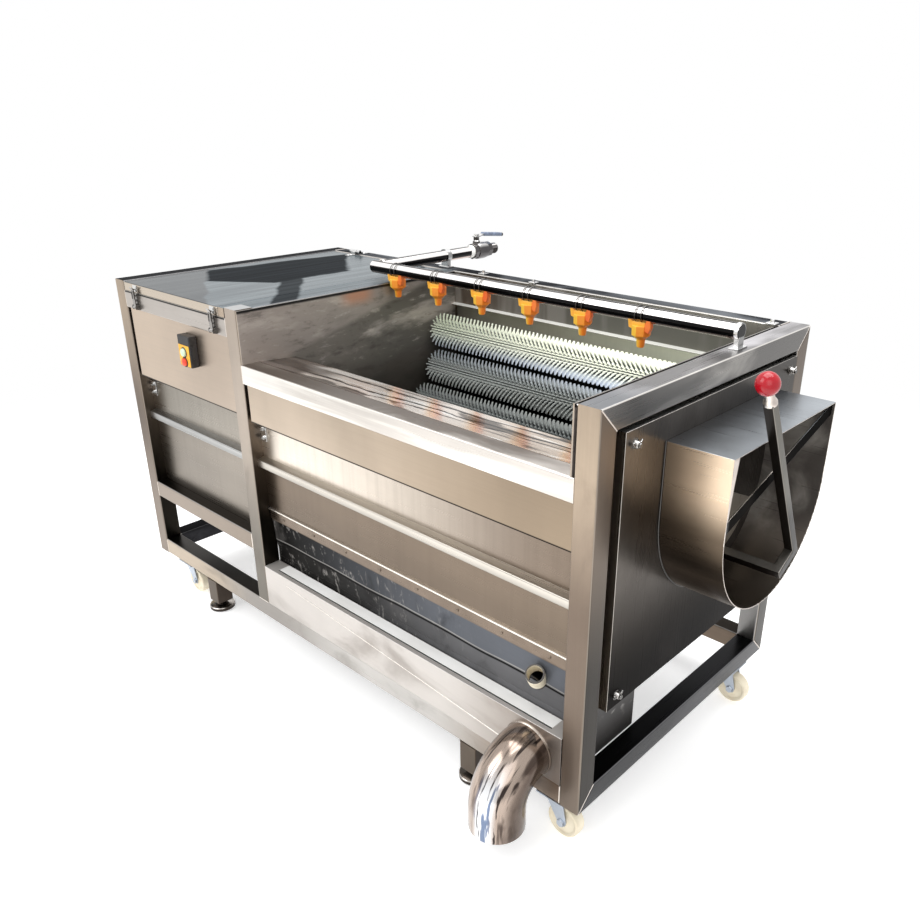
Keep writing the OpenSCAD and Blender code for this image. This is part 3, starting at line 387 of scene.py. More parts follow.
def post_finish():
    look = Finish("post_steel")
    # Painted light and shade: the front faces darker low down and lighter toward the top, and the middle
    # posts likewise.
    front = look.mix(look.z.rise(40, 480), (125, 113, 102), (112, 99, 88))
    front = look.mix(look.z.rise(440, 800), front, (178, 161, 142))
    middle = look.mix(look.z.rise(200, 700), (112, 107, 99), (188, 175, 162))
    front = look.mix(look.x.band(MID_LEFT - 5, MID_RIGHT + 5, 2), front, middle)
    smear = look.noise(9.0, stretch=(1, 1, 0.5), detail=5.0, warp=0.8).rise(0.5, 0.8)
    front = look.mix(smear * 0.45, front, (90, 80, 72))
    # Painted light on the front faces of the back posts, which stand in shade.
    front = look.mix(look.y.rise(600, 700), front, (176, 174, 172))
    # Painted shade on the faces that look right, lighter toward the top; the edges take a painted highlight.
    right = look.mix(look.z.rise(300, 700), (46, 42, 37), (110, 99, 89))
    colour = look.facing(front, right, (190, 190, 190), (128, 122, 115), (214, 202, 188), 0.25)
    return look.rolled(colour, 0.2, 0.08, "Z", 5.0, rough=0.34)


def rail_finish():
    look = Finish("rail_steel")
    low = look.mix(look.x.rise(650, 1000), (148, 143, 138), (186, 183, 179))
    low = look.mix(look.x.rise(1250, 1550), low, (134, 119, 105))
    low = look.mix(look.x.rise(560, 300), low, (176, 162, 144))
    grime = look.noise(9.0, stretch=(0.6, 1, 1), detail=6.0, warp=0.8).rise(0.52, 0.7)
    low = look.mix(grime * 0.4, low, (112, 104, 96))
    front = look.mix(look.z.rise(120, 190), low, (140, 128, 116))
    # Painted light: the upper rails' fronts near white, brightest toward the left.
    streak = look.noise(1.0, stretch=(2.0, 34, 34), detail=3.0, warp=0.5).rise(0.4, 0.62)
    bright = look.mix(streak, (214, 208, 201), (248, 244, 236))
    bright = look.mix(look.x.rise(880, 640), bright, (252, 248, 242))
    front = look.mix(look.z.rise(600, 660), front, bright)
    front = look.mix(look.z.rise(760, 790), front, (196, 189, 182))
    # A painted shadow line under the lid's lip.
    front = look.mix(look.z.band(839, 847, 1.5), front, (24, 22, 21))
    # Painted reflections on the rails' tops: light and dark patches, dark on the back rail.
    patch = look.noise(6.0, stretch=(0.5, 1, 1), detail=5.0, warp=0.6).rise(0.42, 0.68)
    back = look.mix(patch, (26, 27, 30), (96, 99, 103))
    front_top = look.mix(patch, (126, 118, 111), (206, 200, 194))
    top = look.mix(look.y.rise(400, 500), front_top, back)
    # Painted shade on the low rails' tops.
    top = look.mix(look.z.rise(300, 600), (52, 48, 44), top)
    # Painted shade on the faces that look right and a painted highlight on the edges; less metal on the back
    # rail's top, so its painted reflection shows.
    colour = look.facing(front, (90, 84, 78), top, (96, 90, 84), (236, 232, 226), 0.35)
    shiny = 1 - look.y.rise(600, 700) * look.up.rise(0.4, 0.8) * 0.9
    return look.rolled(colour, 0.12, 0.1, "X", 6.0, metal=shiny, rough=0.32, **NO_SHEEN)


def end_rail_finish():
    """The rails across the ends, with painted reflections, light and shade, and the ledge beside the lid,
    which takes the lid's painted reflection.
    """
    look = Finish("end_rail_steel")
    # Painted reflections: light and dark patches on the faces that look right and on the tops, the tops paler
    # near the front and dark on the left end's rail.
    reflection_patches = look.noise(9.0, stretch=(1, 0.35, 1), detail=5.0, warp=0.6).rise(0.45, 0.75)
    right = look.mix(reflection_patches, (110, 108, 106), (186, 182, 177))
    clouds = look.noise(7.0, stretch=(1, 0.5, 1), warp=0.5).rise(0.35, 0.65)
    top = look.mix(clouds, (124, 122, 122), (210, 207, 210))
    top = look.mix(look.y.rise(200, 60), top, (126, 128, 132))
    top = look.mix(look.x.rise(200, 100), top, (26, 27, 29))
    ledge, clear = lid_mirror(look)
    on_ledge = look.x.band(480, 640, 5)
    top = look.mix(on_ledge, top, ledge)
    # Painted shade on the low rails: dark tops and darker faces that look right.
    high = look.z.rise(300, 600)
    top = look.mix(high, (26, 26, 28), top)
    right = look.mix(high, look.mix(reflection_patches, (44, 44, 46), (70, 70, 74)), right)
    # Painted highlight on the rounded edges, brightest on the right end's upper rails.
    rim = look.mix(high * look.x.rise(1500, 1600), (110, 110, 112), (244, 240, 234))
    colour = look.facing((196, 178, 158), right, top, (112, 108, 104), rim)
    shiny = 1 - look.up.rise(0.4, 0.8) * ((1 - clear) * on_ledge + look.x.rise(100, 60) * 0.9)
    return look.rolled(colour, 0.15, 0.08, "Y", 6.0, metal=shiny, **NO_SHEEN)


def lid_mirror(look):
    """What the lid mirrors, pale with a dark beam and its stem, and how clear of them each spot is."""
    wave = (look.noise(6.0, detail=3.0, warp=0.4) - 0.5) * 40
    x, y = look.x + wave, look.y + wave
    streak = look.noise(1.0, stretch=(40, 1.6, 1), detail=3.0).rise(0.3, 0.75)
    near = look.mix(streak, (66, 70, 73), (84, 88, 90))
    pale = look.mix(streak, (86, 94, 99), (116, 125, 129))
    top = look.mix((y + 0.6 * x).rise(292, 306), near, pale)
    beam = (x - 0.12 * y).rise(30, 48) * (1 - x.rise(378, 396)) * (1 - (x - 1.4 * y).rise(-14, 8))
    beam = beam * (y + 0.554 * x).rise(280, 298) * (1 - (y + 0.744 * x).rise(816, 840))
    stem = (y + 0.8 * x).band(603, 684, 9) * x.rise(372, 390)
    clear = (1 - beam * 0.97) * (1 - stem * 0.9)
    return look.mix(clear, look.mix(streak, (12, 15, 18), (22, 26, 30)), top), 0.07 + clear * 0.58


def lid_finish():
    look = Finish("lid_steel")
    top, clear = lid_mirror(look)
    # The lid's painted reflection on top, painted light on its front lip and painted shade on the faces that
    # look right; less metal where the painted reflection is dark.
    colour = look.facing((212, 199, 182), (90, 88, 86), top, (150, 150, 150))
    shiny = 1 - look.up.rise(0.4, 0.8) * (1 - clear)
    return look.rolled(colour, 0.06, 0.03, "X", 6.0, metal=shiny, rough=0.2, spread=0.08, **NO_SHEEN)


def panel_finish(name, left, right, below, rib_colour, span):
    """The recessed panels, whose tone changes along them and under the rib, and the rib, which catches the
    light as a painted highlight.
    """
    look = Finish(name)
    upper = look.mix(look.x.rise(*span), left, right)
    front = look.mix(look.z.rise(440, 500), below, upper)
    front = look.mix(look.z.rise(430, 360) * 0.5, front, dimmed(below, 0.86))
    streak = look.noise(1.0, stretch=(60, 1, 1.2), detail=3.0).rise(0.35, 0.8)
    front = look.mix(streak * 0.14, front, dimmed(below, 0.72))
    # Painted highlight on the rib, and painted shade on its lower part.
    rib = look.mix(look.z.rise(459, 478), dimmed(rib_colour, 0.84), rib_colour)
    front = look.mix(look.y.rise(33, 24), front, rib)
    # Painted shade on the faces that look right.
    colour = look.facing(front, (80, 72, 66), rib_colour, (128, 122, 116))
    return look.rolled(colour, 0.16, 0.05, "X", 4.0)


def skirt_finish(name, foot, left, right, span):
    """An upper front sheet, with a painted shadow line along its foot."""
    look = Finish(name)
    front = look.mix(look.x.rise(*span), left, right)
    cloud = look.noise(3.0, stretch=(1, 1, 0.6), detail=4.0).rise(0.4, 0.75)
    front = look.mix(cloud * 0.3, front, dimmed(right, 0.8))
    # Painted shadow along the foot.
    front = look.mix(look.z.rise(foot + 5, foot + 2), front, (30, 26, 24))
    # Painted light on the tops and painted shade on the faces that look right.
    colour = look.facing(front, (96, 84, 74), (220, 216, 208), (130, 122, 114))
    return look.rolled(colour, 0.06, 0.07, "X", 4.0, rough=0.34)


def guard_finish():
    """The folded guard in front of the rollers, in painted reflections, and the lip on the back wall, with a
    painted sheen and a painted highlight on its top.
    """
    look = Finish("guard_steel")
    waver = (look.noise(5.0, stretch=(1, 3, 1), detail=4.0, warp=0.6) - 0.5) * 44
    across = look.y + waver
    soft = look.noise(1.0, stretch=(3.0, 24, 24), detail=4.0, warp=0.8)
    # Painted reflections on the guard's top: darker to the left, near-white patches, dark patches and dark
    # streaks.
    top = look.mix((look.x + waver).rise(760, 800), (136, 126, 120), (244, 236, 228))
    top = look.mix(look.x.rise(1150, 1500), top, (206, 192, 178))
    top = look.mix(soft.rise(0.5, 0.42) * look.x.rise(700, 800), top, (254, 252, 248))
    top = look.mix(soft.rise(0.56, 0.62) * 0.8, top, (56, 50, 46))
    patch = look.x.rise(880, 800) * across.band(72, 128, 12)
    top = look.mix(patch * 0.75, top, (62, 52, 45))
    top = look.mix((across - 0.045 * look.x).band(43, 50, 2) * look.x.rise(740, 800), top, (14, 12, 12))
    top = look.mix((across - 0.02 * look.x).band(106, 114, 3) * look.x.rise(700, 900), top, (34, 30, 28))
    top = look.mix((across - 0.06 * look.x).band(2, 7, 2) * look.x.rise(900, 960), top, (24, 21, 20))
    # Painted shade on the faces that look right.
    colour = look.facing((160, 142, 128), (90, 84, 78), top, (120, 108, 98))
    wall = look.mix(look.x.rise(640, 1200), (100, 88, 78), (130, 128, 120))
    # A painted sheen on the back wall, and a painted highlight on its lip's top.
    sheen = look.noise(4.0, stretch=(2.5, 1, 0.3), warp=0.5).rise(0.5, 0.62)
    wall = look.mix(sheen * 0.5, wall, (186, 182, 176))
    lip = look.mix(look.up.rise(0.4, 0.8), wall, (240, 241, 236))
    colour = look.mix(look.y.rise(500, 560), colour, lip)
    return look.surface(colour, 0.78 - look.y.rise(500, 560) * 0.28, 0.14 + soft * 0.05)


def chute_finish():
    look = Finish("chute_steel")
    smear = look.noise(6.0, detail=5.0, warp=0.8).rise(0.4, 0.7)
    # Painted light on the outside: dark low down, bright toward the rim, and painted shade near the cover.
    outside = look.mix(look.z.rise(470, 600), (56, 48, 41), (104, 91, 77))
    outside = look.mix(look.z.rise(590, 700), outside, (252, 226, 196))
    outside = look.mix((1 - look.x.rise(COVER_X, COVER_X + 70)) * 0.6, outside, (72, 63, 55))
    # Painted reflections inside: light patches, paler on the near side than the far side, a plainer tone low
    # down.
    near = look.mix(smear, (126, 120, 114), (228, 221, 212))
    far = look.mix(smear, (92, 87, 83), (172, 167, 160))
    inside = look.mix(look.y.rise(340, 520), near, far)
    inside = look.mix(look.z.rise(520, 400), inside, (144, 134, 124))
    front = look.mix(look.y.rise(300, 500), outside, inside)
    # A painted reflection on the top, bluish and paler toward the mouth, darker in patches.
    top = look.mix(look.x.rise(COVER_X, CHUTE_X), (118, 122, 128), (176, 182, 188))
    top = look.mix(smear * 0.3, top, (76, 76, 78))
    top = look.mix(look.z.rise(700, 740), inside, top)
    # Painted shade on the brace and every face that looks right.
    brace = look.mix(smear, (16, 15, 14), (30, 27, 25))
    colour = look.facing(front, brace, top, inside)
    # Less metal inside, so the painted shade there shows.
    indoors = look.up.rise(0.9, 0.6) * look.y.rise(216, 230) * (0.55 + look.to_right.rise(0.5, 0.9) * 0.4)
    return look.rolled(colour, 0.18, 0.02, "X", 7.0, metal=1 - indoors, spread=0.15, **NO_SHEEN)


def cover_finish():
    """The end cover, in painted shade where it looks right: smeared, lighter toward its top, nearly black at
    its foot and darker toward the back, with a faint painted glint low down.
    """
    look = Finish("cover_steel")
    smear = look.noise(5.0, stretch=(1, 1, 0.7), detail=6.0, warp=0.8)
    right = look.mix(look.z.rise(250, 640), (22, 20, 19), (88, 82, 76))
    right = look.mix(smear.rise(0.5, 0.72) * look.z.rise(260, 600) * 0.4, right, (116, 110, 104))
    right = look.mix(smear.rise(0.46, 0.3) * 0.5, right, (40, 37, 35))
    # A faint painted glint low on the cover.
    glint = (look.y - 0.35 * look.z + (smear - 0.5) * 160).band(420, 500, 60) * look.z.rise(420, 260)
    right = look.mix(glint * 0.3, right, (52, 49, 47))
    # Painted shade toward the back.
    right = look.mix(look.y.rise(260, 640) * 0.6, right, (30, 28, 27))
    # Painted light on the front faces and tops, and a painted highlight on the edges.
    colour = look.facing((176, 162, 146), right, (206, 206, 204), (100, 96, 92), (226, 220, 212))
    dull = look.to_right.rise(0.4, 0.8) * look.z.rise(640, 330) * 0.8
    return look.rolled(colour, 0.2, 0.06, "Z", metal=1 - dull, **NO_SHEEN)


def lever_finish():
    """The lever's bar, its faces that look right darker toward its foot."""
    look = Finish("lever_steel")
    toward_top = look.z.rise(560, 660)
    right = look.mix(toward_top, (44, 41, 38), (104, 101, 94))
    # Painted light and shade by facing, with a painted highlight on the rounded edges.
    colour = look.facing((52, 47, 43), right, (150, 148, 144), (66, 62, 58), (150, 146, 140), 0.5)
    return look.rolled(colour, 0.25, 0.06, "Z", 9.0, rough=0.36)


def back_finish():
    """The back sheets: plain outside, and inside near black in painted shade behind the rollers."""
    look = Finish("back_sheet_steel")
    band = look.mix(look.x.rise(850, 1650), (148, 144, 133), (204, 205, 195))
    # Painted shade: near black below the rollers' tops.
    inside = look.mix(look.z.rise(708, 726), (20, 20, 20), band)
    colour = look.facing(inside, (110, 106, 102), (180, 178, 174), (166, 163, 158))
    return look.rolled(colour, 0.3, 0.08, "Z",
                       metal=1 - (0 - look.to_back).rise(0.4, 0.8) * 0.5, rough=0.36)


def hopper_finish():
    """The hopper's sheet, water stained, lighter to the right, with a wavy bend drawn as a painted dark
    crease and a thin painted highlight.
    """
    look = Finish("hopper_steel")
    stains = look.noise(6.0, stretch=(1, 1, 0.6), detail=6.0, warp=1.0)
    fine = look.noise(30.0, stretch=(1.8, 1, 0.7), detail=7.0, rough=0.7, warp=0.5)
    bend = look.z + (look.noise(4.0, detail=2.0) - 0.5) * 18
    lower = look.mix(look.x.rise(800, 1500), (30, 29, 28), (106, 106, 108))
    upper = look.mix(look.x.rise(640, 1500), (20, 19, 18), (98, 101, 107))
    front = look.mix(bend.rise(237, 247), lower, upper)
    front = look.mix(stains.rise(0.5, 0.72) * 0.6, front, (24, 22, 21))
    front = look.mix(stains.rise(0.46, 0.3) * look.x.rise(1500, 700) * 0.4, front, (130, 127, 124))
    front = look.mix(fine.rise(0.55, 0.68) * look.x.rise(1500, 900) * 0.6, front, (170, 166, 162))
    # The bend: a painted dark crease and a thin painted highlight above it.
    front = look.mix(bend.band(232, 238, 2), front, (18, 17, 17))
    front = look.mix(bend.band(240, 243, 1.5) * 0.5, front, (190, 188, 184))
    front = look.mix(look.z.rise(298, 302), front, (128, 113, 99))
    # Painted shade on the faces that look right.
    colour = look.facing(front, (60, 57, 54), (96, 93, 90), lower)
    return look.rolled(colour, 0.2, 0.05, "X", 5.0, metal=0.35, rough=0.36, spread=0.15, **NO_SHEEN)


def sump_finish():
    look = Finish("sump_steel")
    marks = look.noise(6.0, stretch=(0.5, 1, 1.4), detail=5.0, warp=0.6).rise(0.45, 0.7)
    stains = look.noise(20.0, detail=6.0, warp=1.2).rise(0.58, 0.7)
    front = look.mix(marks, (197, 192, 187), (158, 151, 145))
    front = look.mix(look.x.rise(1300, 1580) * 0.7, front, (130, 118, 108))
    # Painted shade: the faces inside the sump near black.
    front = look.mix(look.y.rise(20, 40), front, (30, 28, 27))
    # Painted shade on the faces that look right, darker at the left end.
    end = look.mix(stains * 0.7, (66, 64, 63), (150, 147, 144))
    end = look.mix(look.x.rise(700, 640), end, look.mix(stains * 0.7, (26, 25, 24), (140, 137, 134)))
    # Painted highlight on the flange's top near the front, darker behind it.
    top = look.mix(look.y.rise(44, 52), (206, 201, 196), (72, 70, 68))
    # A painted highlight on the front edges, painted shade on the edges further in.
    rim = look.mix(look.y.rise(10, 40), (240, 238, 234), (36, 34, 33))
    colour = look.facing(front, end, top, (110, 107, 104), rim, 0.5)
    inner = 1 - (1 - look.y.rise(4, 30)) * (1 - look.up.rise(0.4, 0.8))
    return look.rolled(colour, 0.1, 0.05, "X", 5.0, metal=1 - inner * 0.45, rough=0.4, spread=0.15)


def wall_finish():
    """The wall between cabinet and trough, smeared by splashes, and toward its top by lighter smears of
    painted reflection, over a slanting edge of painted light; in painted shade toward its foot, with a dark
    line along its top.
    """
    look = Finish("trough_wall_steel")
    smear = look.noise(6.0, stretch=(1, 0.45, 1.5), detail=7.0, rough=0.6, warp=0.25)
    fine = look.noise(36.0, stretch=(1, 0.4, 1.3), detail=7.0, rough=0.7, warp=0.2)
    # A slanting edge of painted light: lighter above it.
    over = look.z - 0.248 * look.y + (smear - 0.5) * 40
    upper = look.mix(look.y.rise(60, 520), (158, 148, 141), (150, 142, 135))
    lower = look.mix(look.y.rise(120, 560), (128, 121, 114), (104, 100, 93))
    # Painted shade low in the trough.
    lower = look.mix(look.z.rise(700, 560), lower, (52, 49, 44))
    right = look.mix(over.rise(688, 708), lower, upper)
    right = look.mix(smear.rise(0.5, 0.66) * 0.5, right, (84, 77, 71))
    # Lighter smears toward the top: painted reflection.
    right = look.mix(smear.rise(0.46, 0.32) * look.z.rise(640, 760) * 0.55, right, (216, 205, 196))
    right = look.mix(fine.rise(0.52, 0.68) * 0.45, right, (66, 60, 55))
    right = look.mix(fine.rise(0.44, 0.3) * look.z.rise(600, 720) * 0.4, right, (216, 207, 198))
    right = look.mix(look.z.rise(815, 850) * look.y.band(330, 420, 30) * 0.5, right, (208, 130, 82))
    right = look.mix(look.z.rise(858, 863), right, (26, 24, 23))
    # Painted light on the faces that look to the front.
    colour = look.facing((180, 166, 150), right, (120, 116, 112), (120, 116, 112))
    return look.rolled(colour, 0.1, 0.05, "Y", metal=0.45, rough=0.34, spread=0.15)


def pipe_finish():
    """Polished pipe, whose painted reflections run along it in bands of light and dark."""
    look = Finish("spray_pipe_steel")
    tilt = look.up + (look.noise(10.0, detail=2.0) - 0.5) * 0.1
    colour = look.mix(tilt.rise(-0.62, -0.52), (170, 152, 144), (14, 13, 14))
    colour = look.mix(tilt.rise(0.26, 0.38), colour, (254, 250, 247))
    colour = look.mix(tilt.rise(0.88, 0.95), colour, (60, 57, 56))
    return look.rolled(colour, 0.1, 0.05, "X", 9.0, metal=0.8, rough=0.16, spread=0.0)


def drain_finish():
    """Polished elbow in painted reflections: brown and dark at its sides, with blue and white streaks down
    its middle.
    """
    look = Finish("drain_steel")
    streak = look.noise(3.0, stretch=(26, 2.4, 2.4), detail=3.0, warp=0.4)
    colour = look.mix(streak.rise(0.34, 0.52), (84, 72, 65), (168, 152, 140))
    colour = look.mix(streak.rise(0.58, 0.64), colour, (56, 48, 44))
    middle = look.to_right.band(-0.12, 0.5, 0.16) * look.z.rise(140, 70)
    light = look.mix(streak.rise(0.42, 0.48), (116, 132, 160), (248, 250, 253))
    light = look.mix(streak.rise(0.58, 0.62), light, (52, 50, 58))
    colour = look.mix(middle * 0.92, colour, light)
    edge = 1 - look.to_right.band(-0.72, 0.86, 0.12)
    colour = look.mix(edge * 0.8, colour, (66, 54, 47))
    return look.rolled(colour, 0.1, 0.03, "Z", 8.0, metal=0.85, rough=0.16, spread=0.0)


def bristle_finish():
    """Nylon bristles: pale at the tips, in painted shade at the root and on the lower rollers, with a painted
    glow on the upper rollers.
    """
    look = Finish("bristle_nylon")
    reach = look.node("ShaderNodeAttribute", out="Fac", attribute_name="reach")
    upper = look.mix(look.x.rise(640, 1000), (232, 237, 220), (250, 252, 240))
    tips = look.mix(look.z.rise(655, 720), (232, 239, 250), upper)
    # Painted shade: bluish tips on the middle rollers, greyer on the lowest.
    lower_in_shade = look.mix(look.z.rise(450, 600), (136, 142, 146), (212, 216, 212))
    tips = look.mix(look.z.rise(615, 665), lower_in_shade, tips)
    # Painted shade toward the roots.
    colour = look.mix(reach.rise(0.05, 0.5), (30, 35, 40), tips)
    colour = look.mix(1.0, colour, 0.86 + look.noise(70.0, detail=2.0) * 0.28, "MULTIPLY")
    # A painted glow on the upper rollers.
    glow = look.mix(look.z.rise(600, 700) * look.x.rise(640, 1400), (0, 0, 0), colour)
    return look.surface(colour, 0.0, 0.45, **{"Emission Color": glow, "Emission Strength": 0.3})


def core_finish():
    """The brush cores: dark grey on top and lighter on the upper rollers, in painted light, and nearly black
    below in painted shade.
    """
    look = Finish("brush_core_nylon")
    pale = look.mix(look.z.rise(600, 680), (40, 44, 46), (72, 78, 74))
    colour = look.mix(look.up.rise(-0.35, 0.35), (22, 25, 36), pale)
    colour = look.mix(1.0, colour, 0.8 + look.noise(40.0, detail=3.0) * 0.4, "MULTIPLY")
    return look.surface(colour, 0.0, 0.6)


def orange_finish():
    """Nozzle plastic in painted light: yellow where it looks left, redder in painted shade where it looks
    right, and paler on top.
    """
    look = Finish("orange_plastic")
    colour = look.mix(look.to_right.rise(-0.6, 0.8), (255, 206, 70), (246, 132, 36))
    # Painted highlight on the tops.
    colour = look.mix(look.up.rise(0.3, 0.9) * 0.5, colour, (255, 214, 96))
    colour = look.mix(look.noise(60.0, detail=3.0).rise(0.5, 0.8) * 0.3, colour, (236, 132, 30))
    return look.surface(colour, 0.0, 0.32 + look.noise(90.0) * 0.1)


posts = post_finish()
rails = rail_finish()
end_rails = end_rail_finish()
lid_steel = lid_finish()
trough_wall = wall_finish()
skirt_steel = skirt_finish("skirt_steel", foot_of("front_skirt"), (200, 184, 166), (148, 132, 113),
                           (700, 1650))
cabinet_skirt_steel = skirt_finish("cabinet_skirt_steel", foot_of("cabinet_front_panel"), (212, 194, 175),
                                   (196, 180, 164), (80, 560))
lower_steel = panel_finish("lower_panel_steel", (236, 226, 213), (121, 108, 96), (118, 105, 92),
                           (206, 200, 190), (640, 1640))
cabinet_steel = panel_finish("cabinet_panel_steel", (162, 156, 146), (164, 157, 147), (146, 138, 128),
                             (186, 186, 184), (60, 560))
# Every steel() below takes painted light and shade by facing: a tone for the front, the right, the top and
# the rest.
strap_steel = steel("strap_steel", (122, 109, 97), (80, 70, 62), (206, 196, 186), (96, 85, 76),
                    0.3, 0.4, 0.1, "X", 14.0)
back_steel = steel("back_steel", (205, 205, 194), (110, 106, 102), (180, 178, 174), (166, 163, 158),
                   0.36, 0.3, 0.08, "Z")
back_sheet_steel = back_finish()
cover_steel = cover_finish()
gate_steel = steel("gate_steel", (140, 134, 126), (124, 117, 108), (150, 148, 146), (96, 92, 88),
                   0.3, 0.3, 0.06, "Z", metal=0.45)
latch_steel = steel("latch_steel", (168, 164, 160), (96, 94, 92), (206, 204, 202), (110, 108, 106),
                    0.24, 0.3, 0.05)
chute_steel = chute_finish()
guard_steel = guard_finish()
hopper_steel = hopper_finish()
sump_steel = sump_finish()
drain_steel = drain_finish()
pipe_steel = pipe_finish()
lever_steel = lever_finish()
bright_steel = steel("bright_steel", (226, 226, 224), (150, 150, 150), (240, 240, 240), (176, 176, 176),
                     0.22, 0.2, 0.04)
weld_steel = steel("weld_steel", (236, 228, 218), (206, 196, 188), (240, 238, 234), (190, 186, 180),
                   0.34, 0.3, 0.05, "Z", 60.0)
dark_iron = steel("dark_iron", (92, 90, 88), (76, 74, 72), (120, 118, 116), (80, 78, 76),
                  0.42, 0.3, 0.05, "X", 20.0)
chain_steel = steel("chain_steel", (84, 76, 68), (70, 64, 58), (96, 88, 80), (66, 60, 56),
                    0.4, 0.35, 0.05, "X", 40.0)
shaft_steel = steel("shaft_steel", (196, 196, 196), (150, 150, 150), (220, 220, 220), (160, 160, 160),
                    0.22, 0.2, 0.05)
zinc_steel = steel("zinc_steel", (186, 194, 204), (150, 156, 166), (216, 220, 226), (140, 146, 156),
                   0.32, 0.25, 0.05, "Z", 18.0)
leg_steel = steel("leg_steel", (92, 82, 72), (70, 62, 56), (140, 130, 120), (80, 72, 66),
                  0.34, 0.25, 0.06, "Z", 9.0)
foot_steel = steel("foot_steel", (62, 56, 52), (60, 54, 50), (196, 190, 184), (52, 48, 46),
                   0.2, 0.3, 0.04, "X", 16.0)
valve_metal = steel("valve_metal", (92, 88, 86), (84, 82, 82), (224, 222, 220), (70, 68, 68),
                    0.2, 0.3, 0.05, "Y", 22.0)
bristle = bristle_finish()
brush_core = core_finish()
orange = orange_finish()
orange_red = plastic("orange_red_plastic", (248, 128, 50), (236, 104, 40), 0.34)
red = plastic("red_plastic", (172, 8, 28), (146, 6, 24), 0.1)
green = plastic("pale_green_plastic", (214, 232, 206), (190, 216, 188), 0.3)
stop_red = plastic("stop_red_plastic", (232, 78, 46), (214, 60, 40), 0.3)
yellow = plastic("amber_plate", (246, 186, 62), (236, 168, 44), 0.4)
black = plastic("black_plastic", (34, 33, 34), (22, 21, 22), 0.32)
cream = plastic("wheel_nylon", (240, 230, 206), (228, 216, 190), 0.42, 40.0)
grip_coat = plastic("handle_coating", (112, 124, 146), (92, 102, 122), 0.36, 40.0)
tape = plastic("thread_tape", (240, 240, 236), (222, 222, 218), 0.6, 60.0)
# Painted glare on the top of the sump's flange.
glare_white = plastic("flange_glare", (254, 254, 252), (244, 243, 240), 0.5, 8.0)
motor_paint = plastic("motor_paint", (58, 92, 122), (48, 78, 106), 0.42, 14.0)
# The dark of the spray pipe's open end: painted shade for its hollow.
hollow_shade = plastic("pipe_mouth_shade", (48, 46, 44), (36, 34, 33), 0.55, 30.0)


# Tube frame
def welded_frame():
    skin("corner_posts", "post_tubes", posts, "frame_steel", 4, 60, segments=3)
    skin("long_rails", "rail_tubes", rails, "frame_steel", 4, 60, segments=3)
    skin("cross_rails", "end_rail_tubes", end_rails, "frame_steel", 4, 60, segments=3,
         where=lambda p: not (500 < p.x < MID_LEFT + 0.5 and 844 < p.z < 869))
    beads = Shape()
    for x in (1.8, TUBE, TROUGH_RIGHT, RIGHT - 1.8):
        for y_out, y_in in ((2, TUBE), (WIDE - 2, WIDE - TUBE)):
            for z_out, z_in in ((2, TUBE), (TALL - 2, TALL - TUBE)):
                beads.wire([(x, y_out, z_out), (x, y_in, z_in)], 1.7)
    thin = 1.5
    for x in (MID_RIGHT, TROUGH_RIGHT):
        beads.wire([(x, 1, 687), (x, 1, 733)], thin)
    for x in (TUBE, MID_LEFT):
        beads.wire([(x, 1, 797), (x, 1, 843)], thin)
        beads.wire([(x, 1, 204), (x, 1, 250)], thin)
    for x in (TUBE, TROUGH_RIGHT):
        beads.wire([(x, 1, 3), (x, 1, 47)], thin)
        beads.wire([(x, 752, TALL), (x, 798, TALL)], thin)
    beads.wire([(MID_LEFT + 3, 1, TUBE), (MID_RIGHT - 3, 1, TUBE)], thin)
    beads.finish("frame_welds", "frame", weld_steel, "frame_steel")


# Sheet metal panels
def ribbed(name, node, x0, x1, z0, z1, look):
    """A recessed panel with its pressed rib, and the tab that holds its left end."""
    face = [(36, z0), (36, 452), (17, 458), (16, 461), (16, 475), (17, 478), (36, 484), (36, z1)]
    outline = in_x(x0, face + [(y + 2, z) for y, z in reversed(face)])
    Shape().extruded(outline, (x1 - x0, 0, 0), 0.8, 300).finish(name, "frame", look, "panel_steel", node)
    tab = Shape().block((x0 + 0.5, 33, 528), (x0 + 26, 36, 572), 1)
    for z in (538, 562):
        tab.rod((x0 + 14, 33, z), (x0 + 14, 28, z), 5.5, sides=6, edge=0.8)
        tab.rod((x0 + 14, 28, z), (x0 + 14, 25, z), 3, sides=12, edge=0.6)
    tab.finish(name + "_tab", "frame", bright_steel, "bright_hardware")


def panels():
    skin("front_skirt", "skirt_sheet", skirt_steel, "panel_steel", 0.9, 60)
    skin("cabinet_front_panel", "cabinet_upper_sheet", cabinet_skirt_steel, "panel_steel", 0.9, 60)
    ribbed("trough_lower_sheet", "front_lower_panel", MID_RIGHT, TROUGH_RIGHT, 336, 685, lower_steel)
    ribbed("cabinet_lower_sheet", "cabinet_lower_panel", TUBE, MID_LEFT, 252, 795, cabinet_steel)
    skin("back_panels", "back_sheets", back_sheet_steel, "panel_steel", 0.8, 100)
    nut = Shape().rod((120, 797, 312), (120, 806, 312), 15, sides=6, edge=1.2)
    nut.turned((120, 806, 312), (0, 1, 0), [(0, 13), (7, 12.6), (9, 10), (9, 6), (0, 6)], closed=True)
    nut.finish("gland_nut", "frame", black, "black_plastic")
    skin("left_end_panel", "left_sheet", back_steel, "panel_steel", 0.8, 100)
    skin("drive_plate", "trough_wall_plate", trough_wall, "dark_steel", 0.8, 100)
    skin("end_bearing_plate", "end_wall_plate", trough_wall, "dark_steel", 0.8, 100)
    skin("end_cover_panel", "end_cover_sheet", cover_steel, "dark_steel", 0.9, 100)
    skin("trough_guards", "guard_sheets", guard_steel, "panel_steel", 0.6, 100, smooth=12)
    skin("motor_shelf", "shelf_sheet", back_steel, "panel_steel", 0.8, 100)


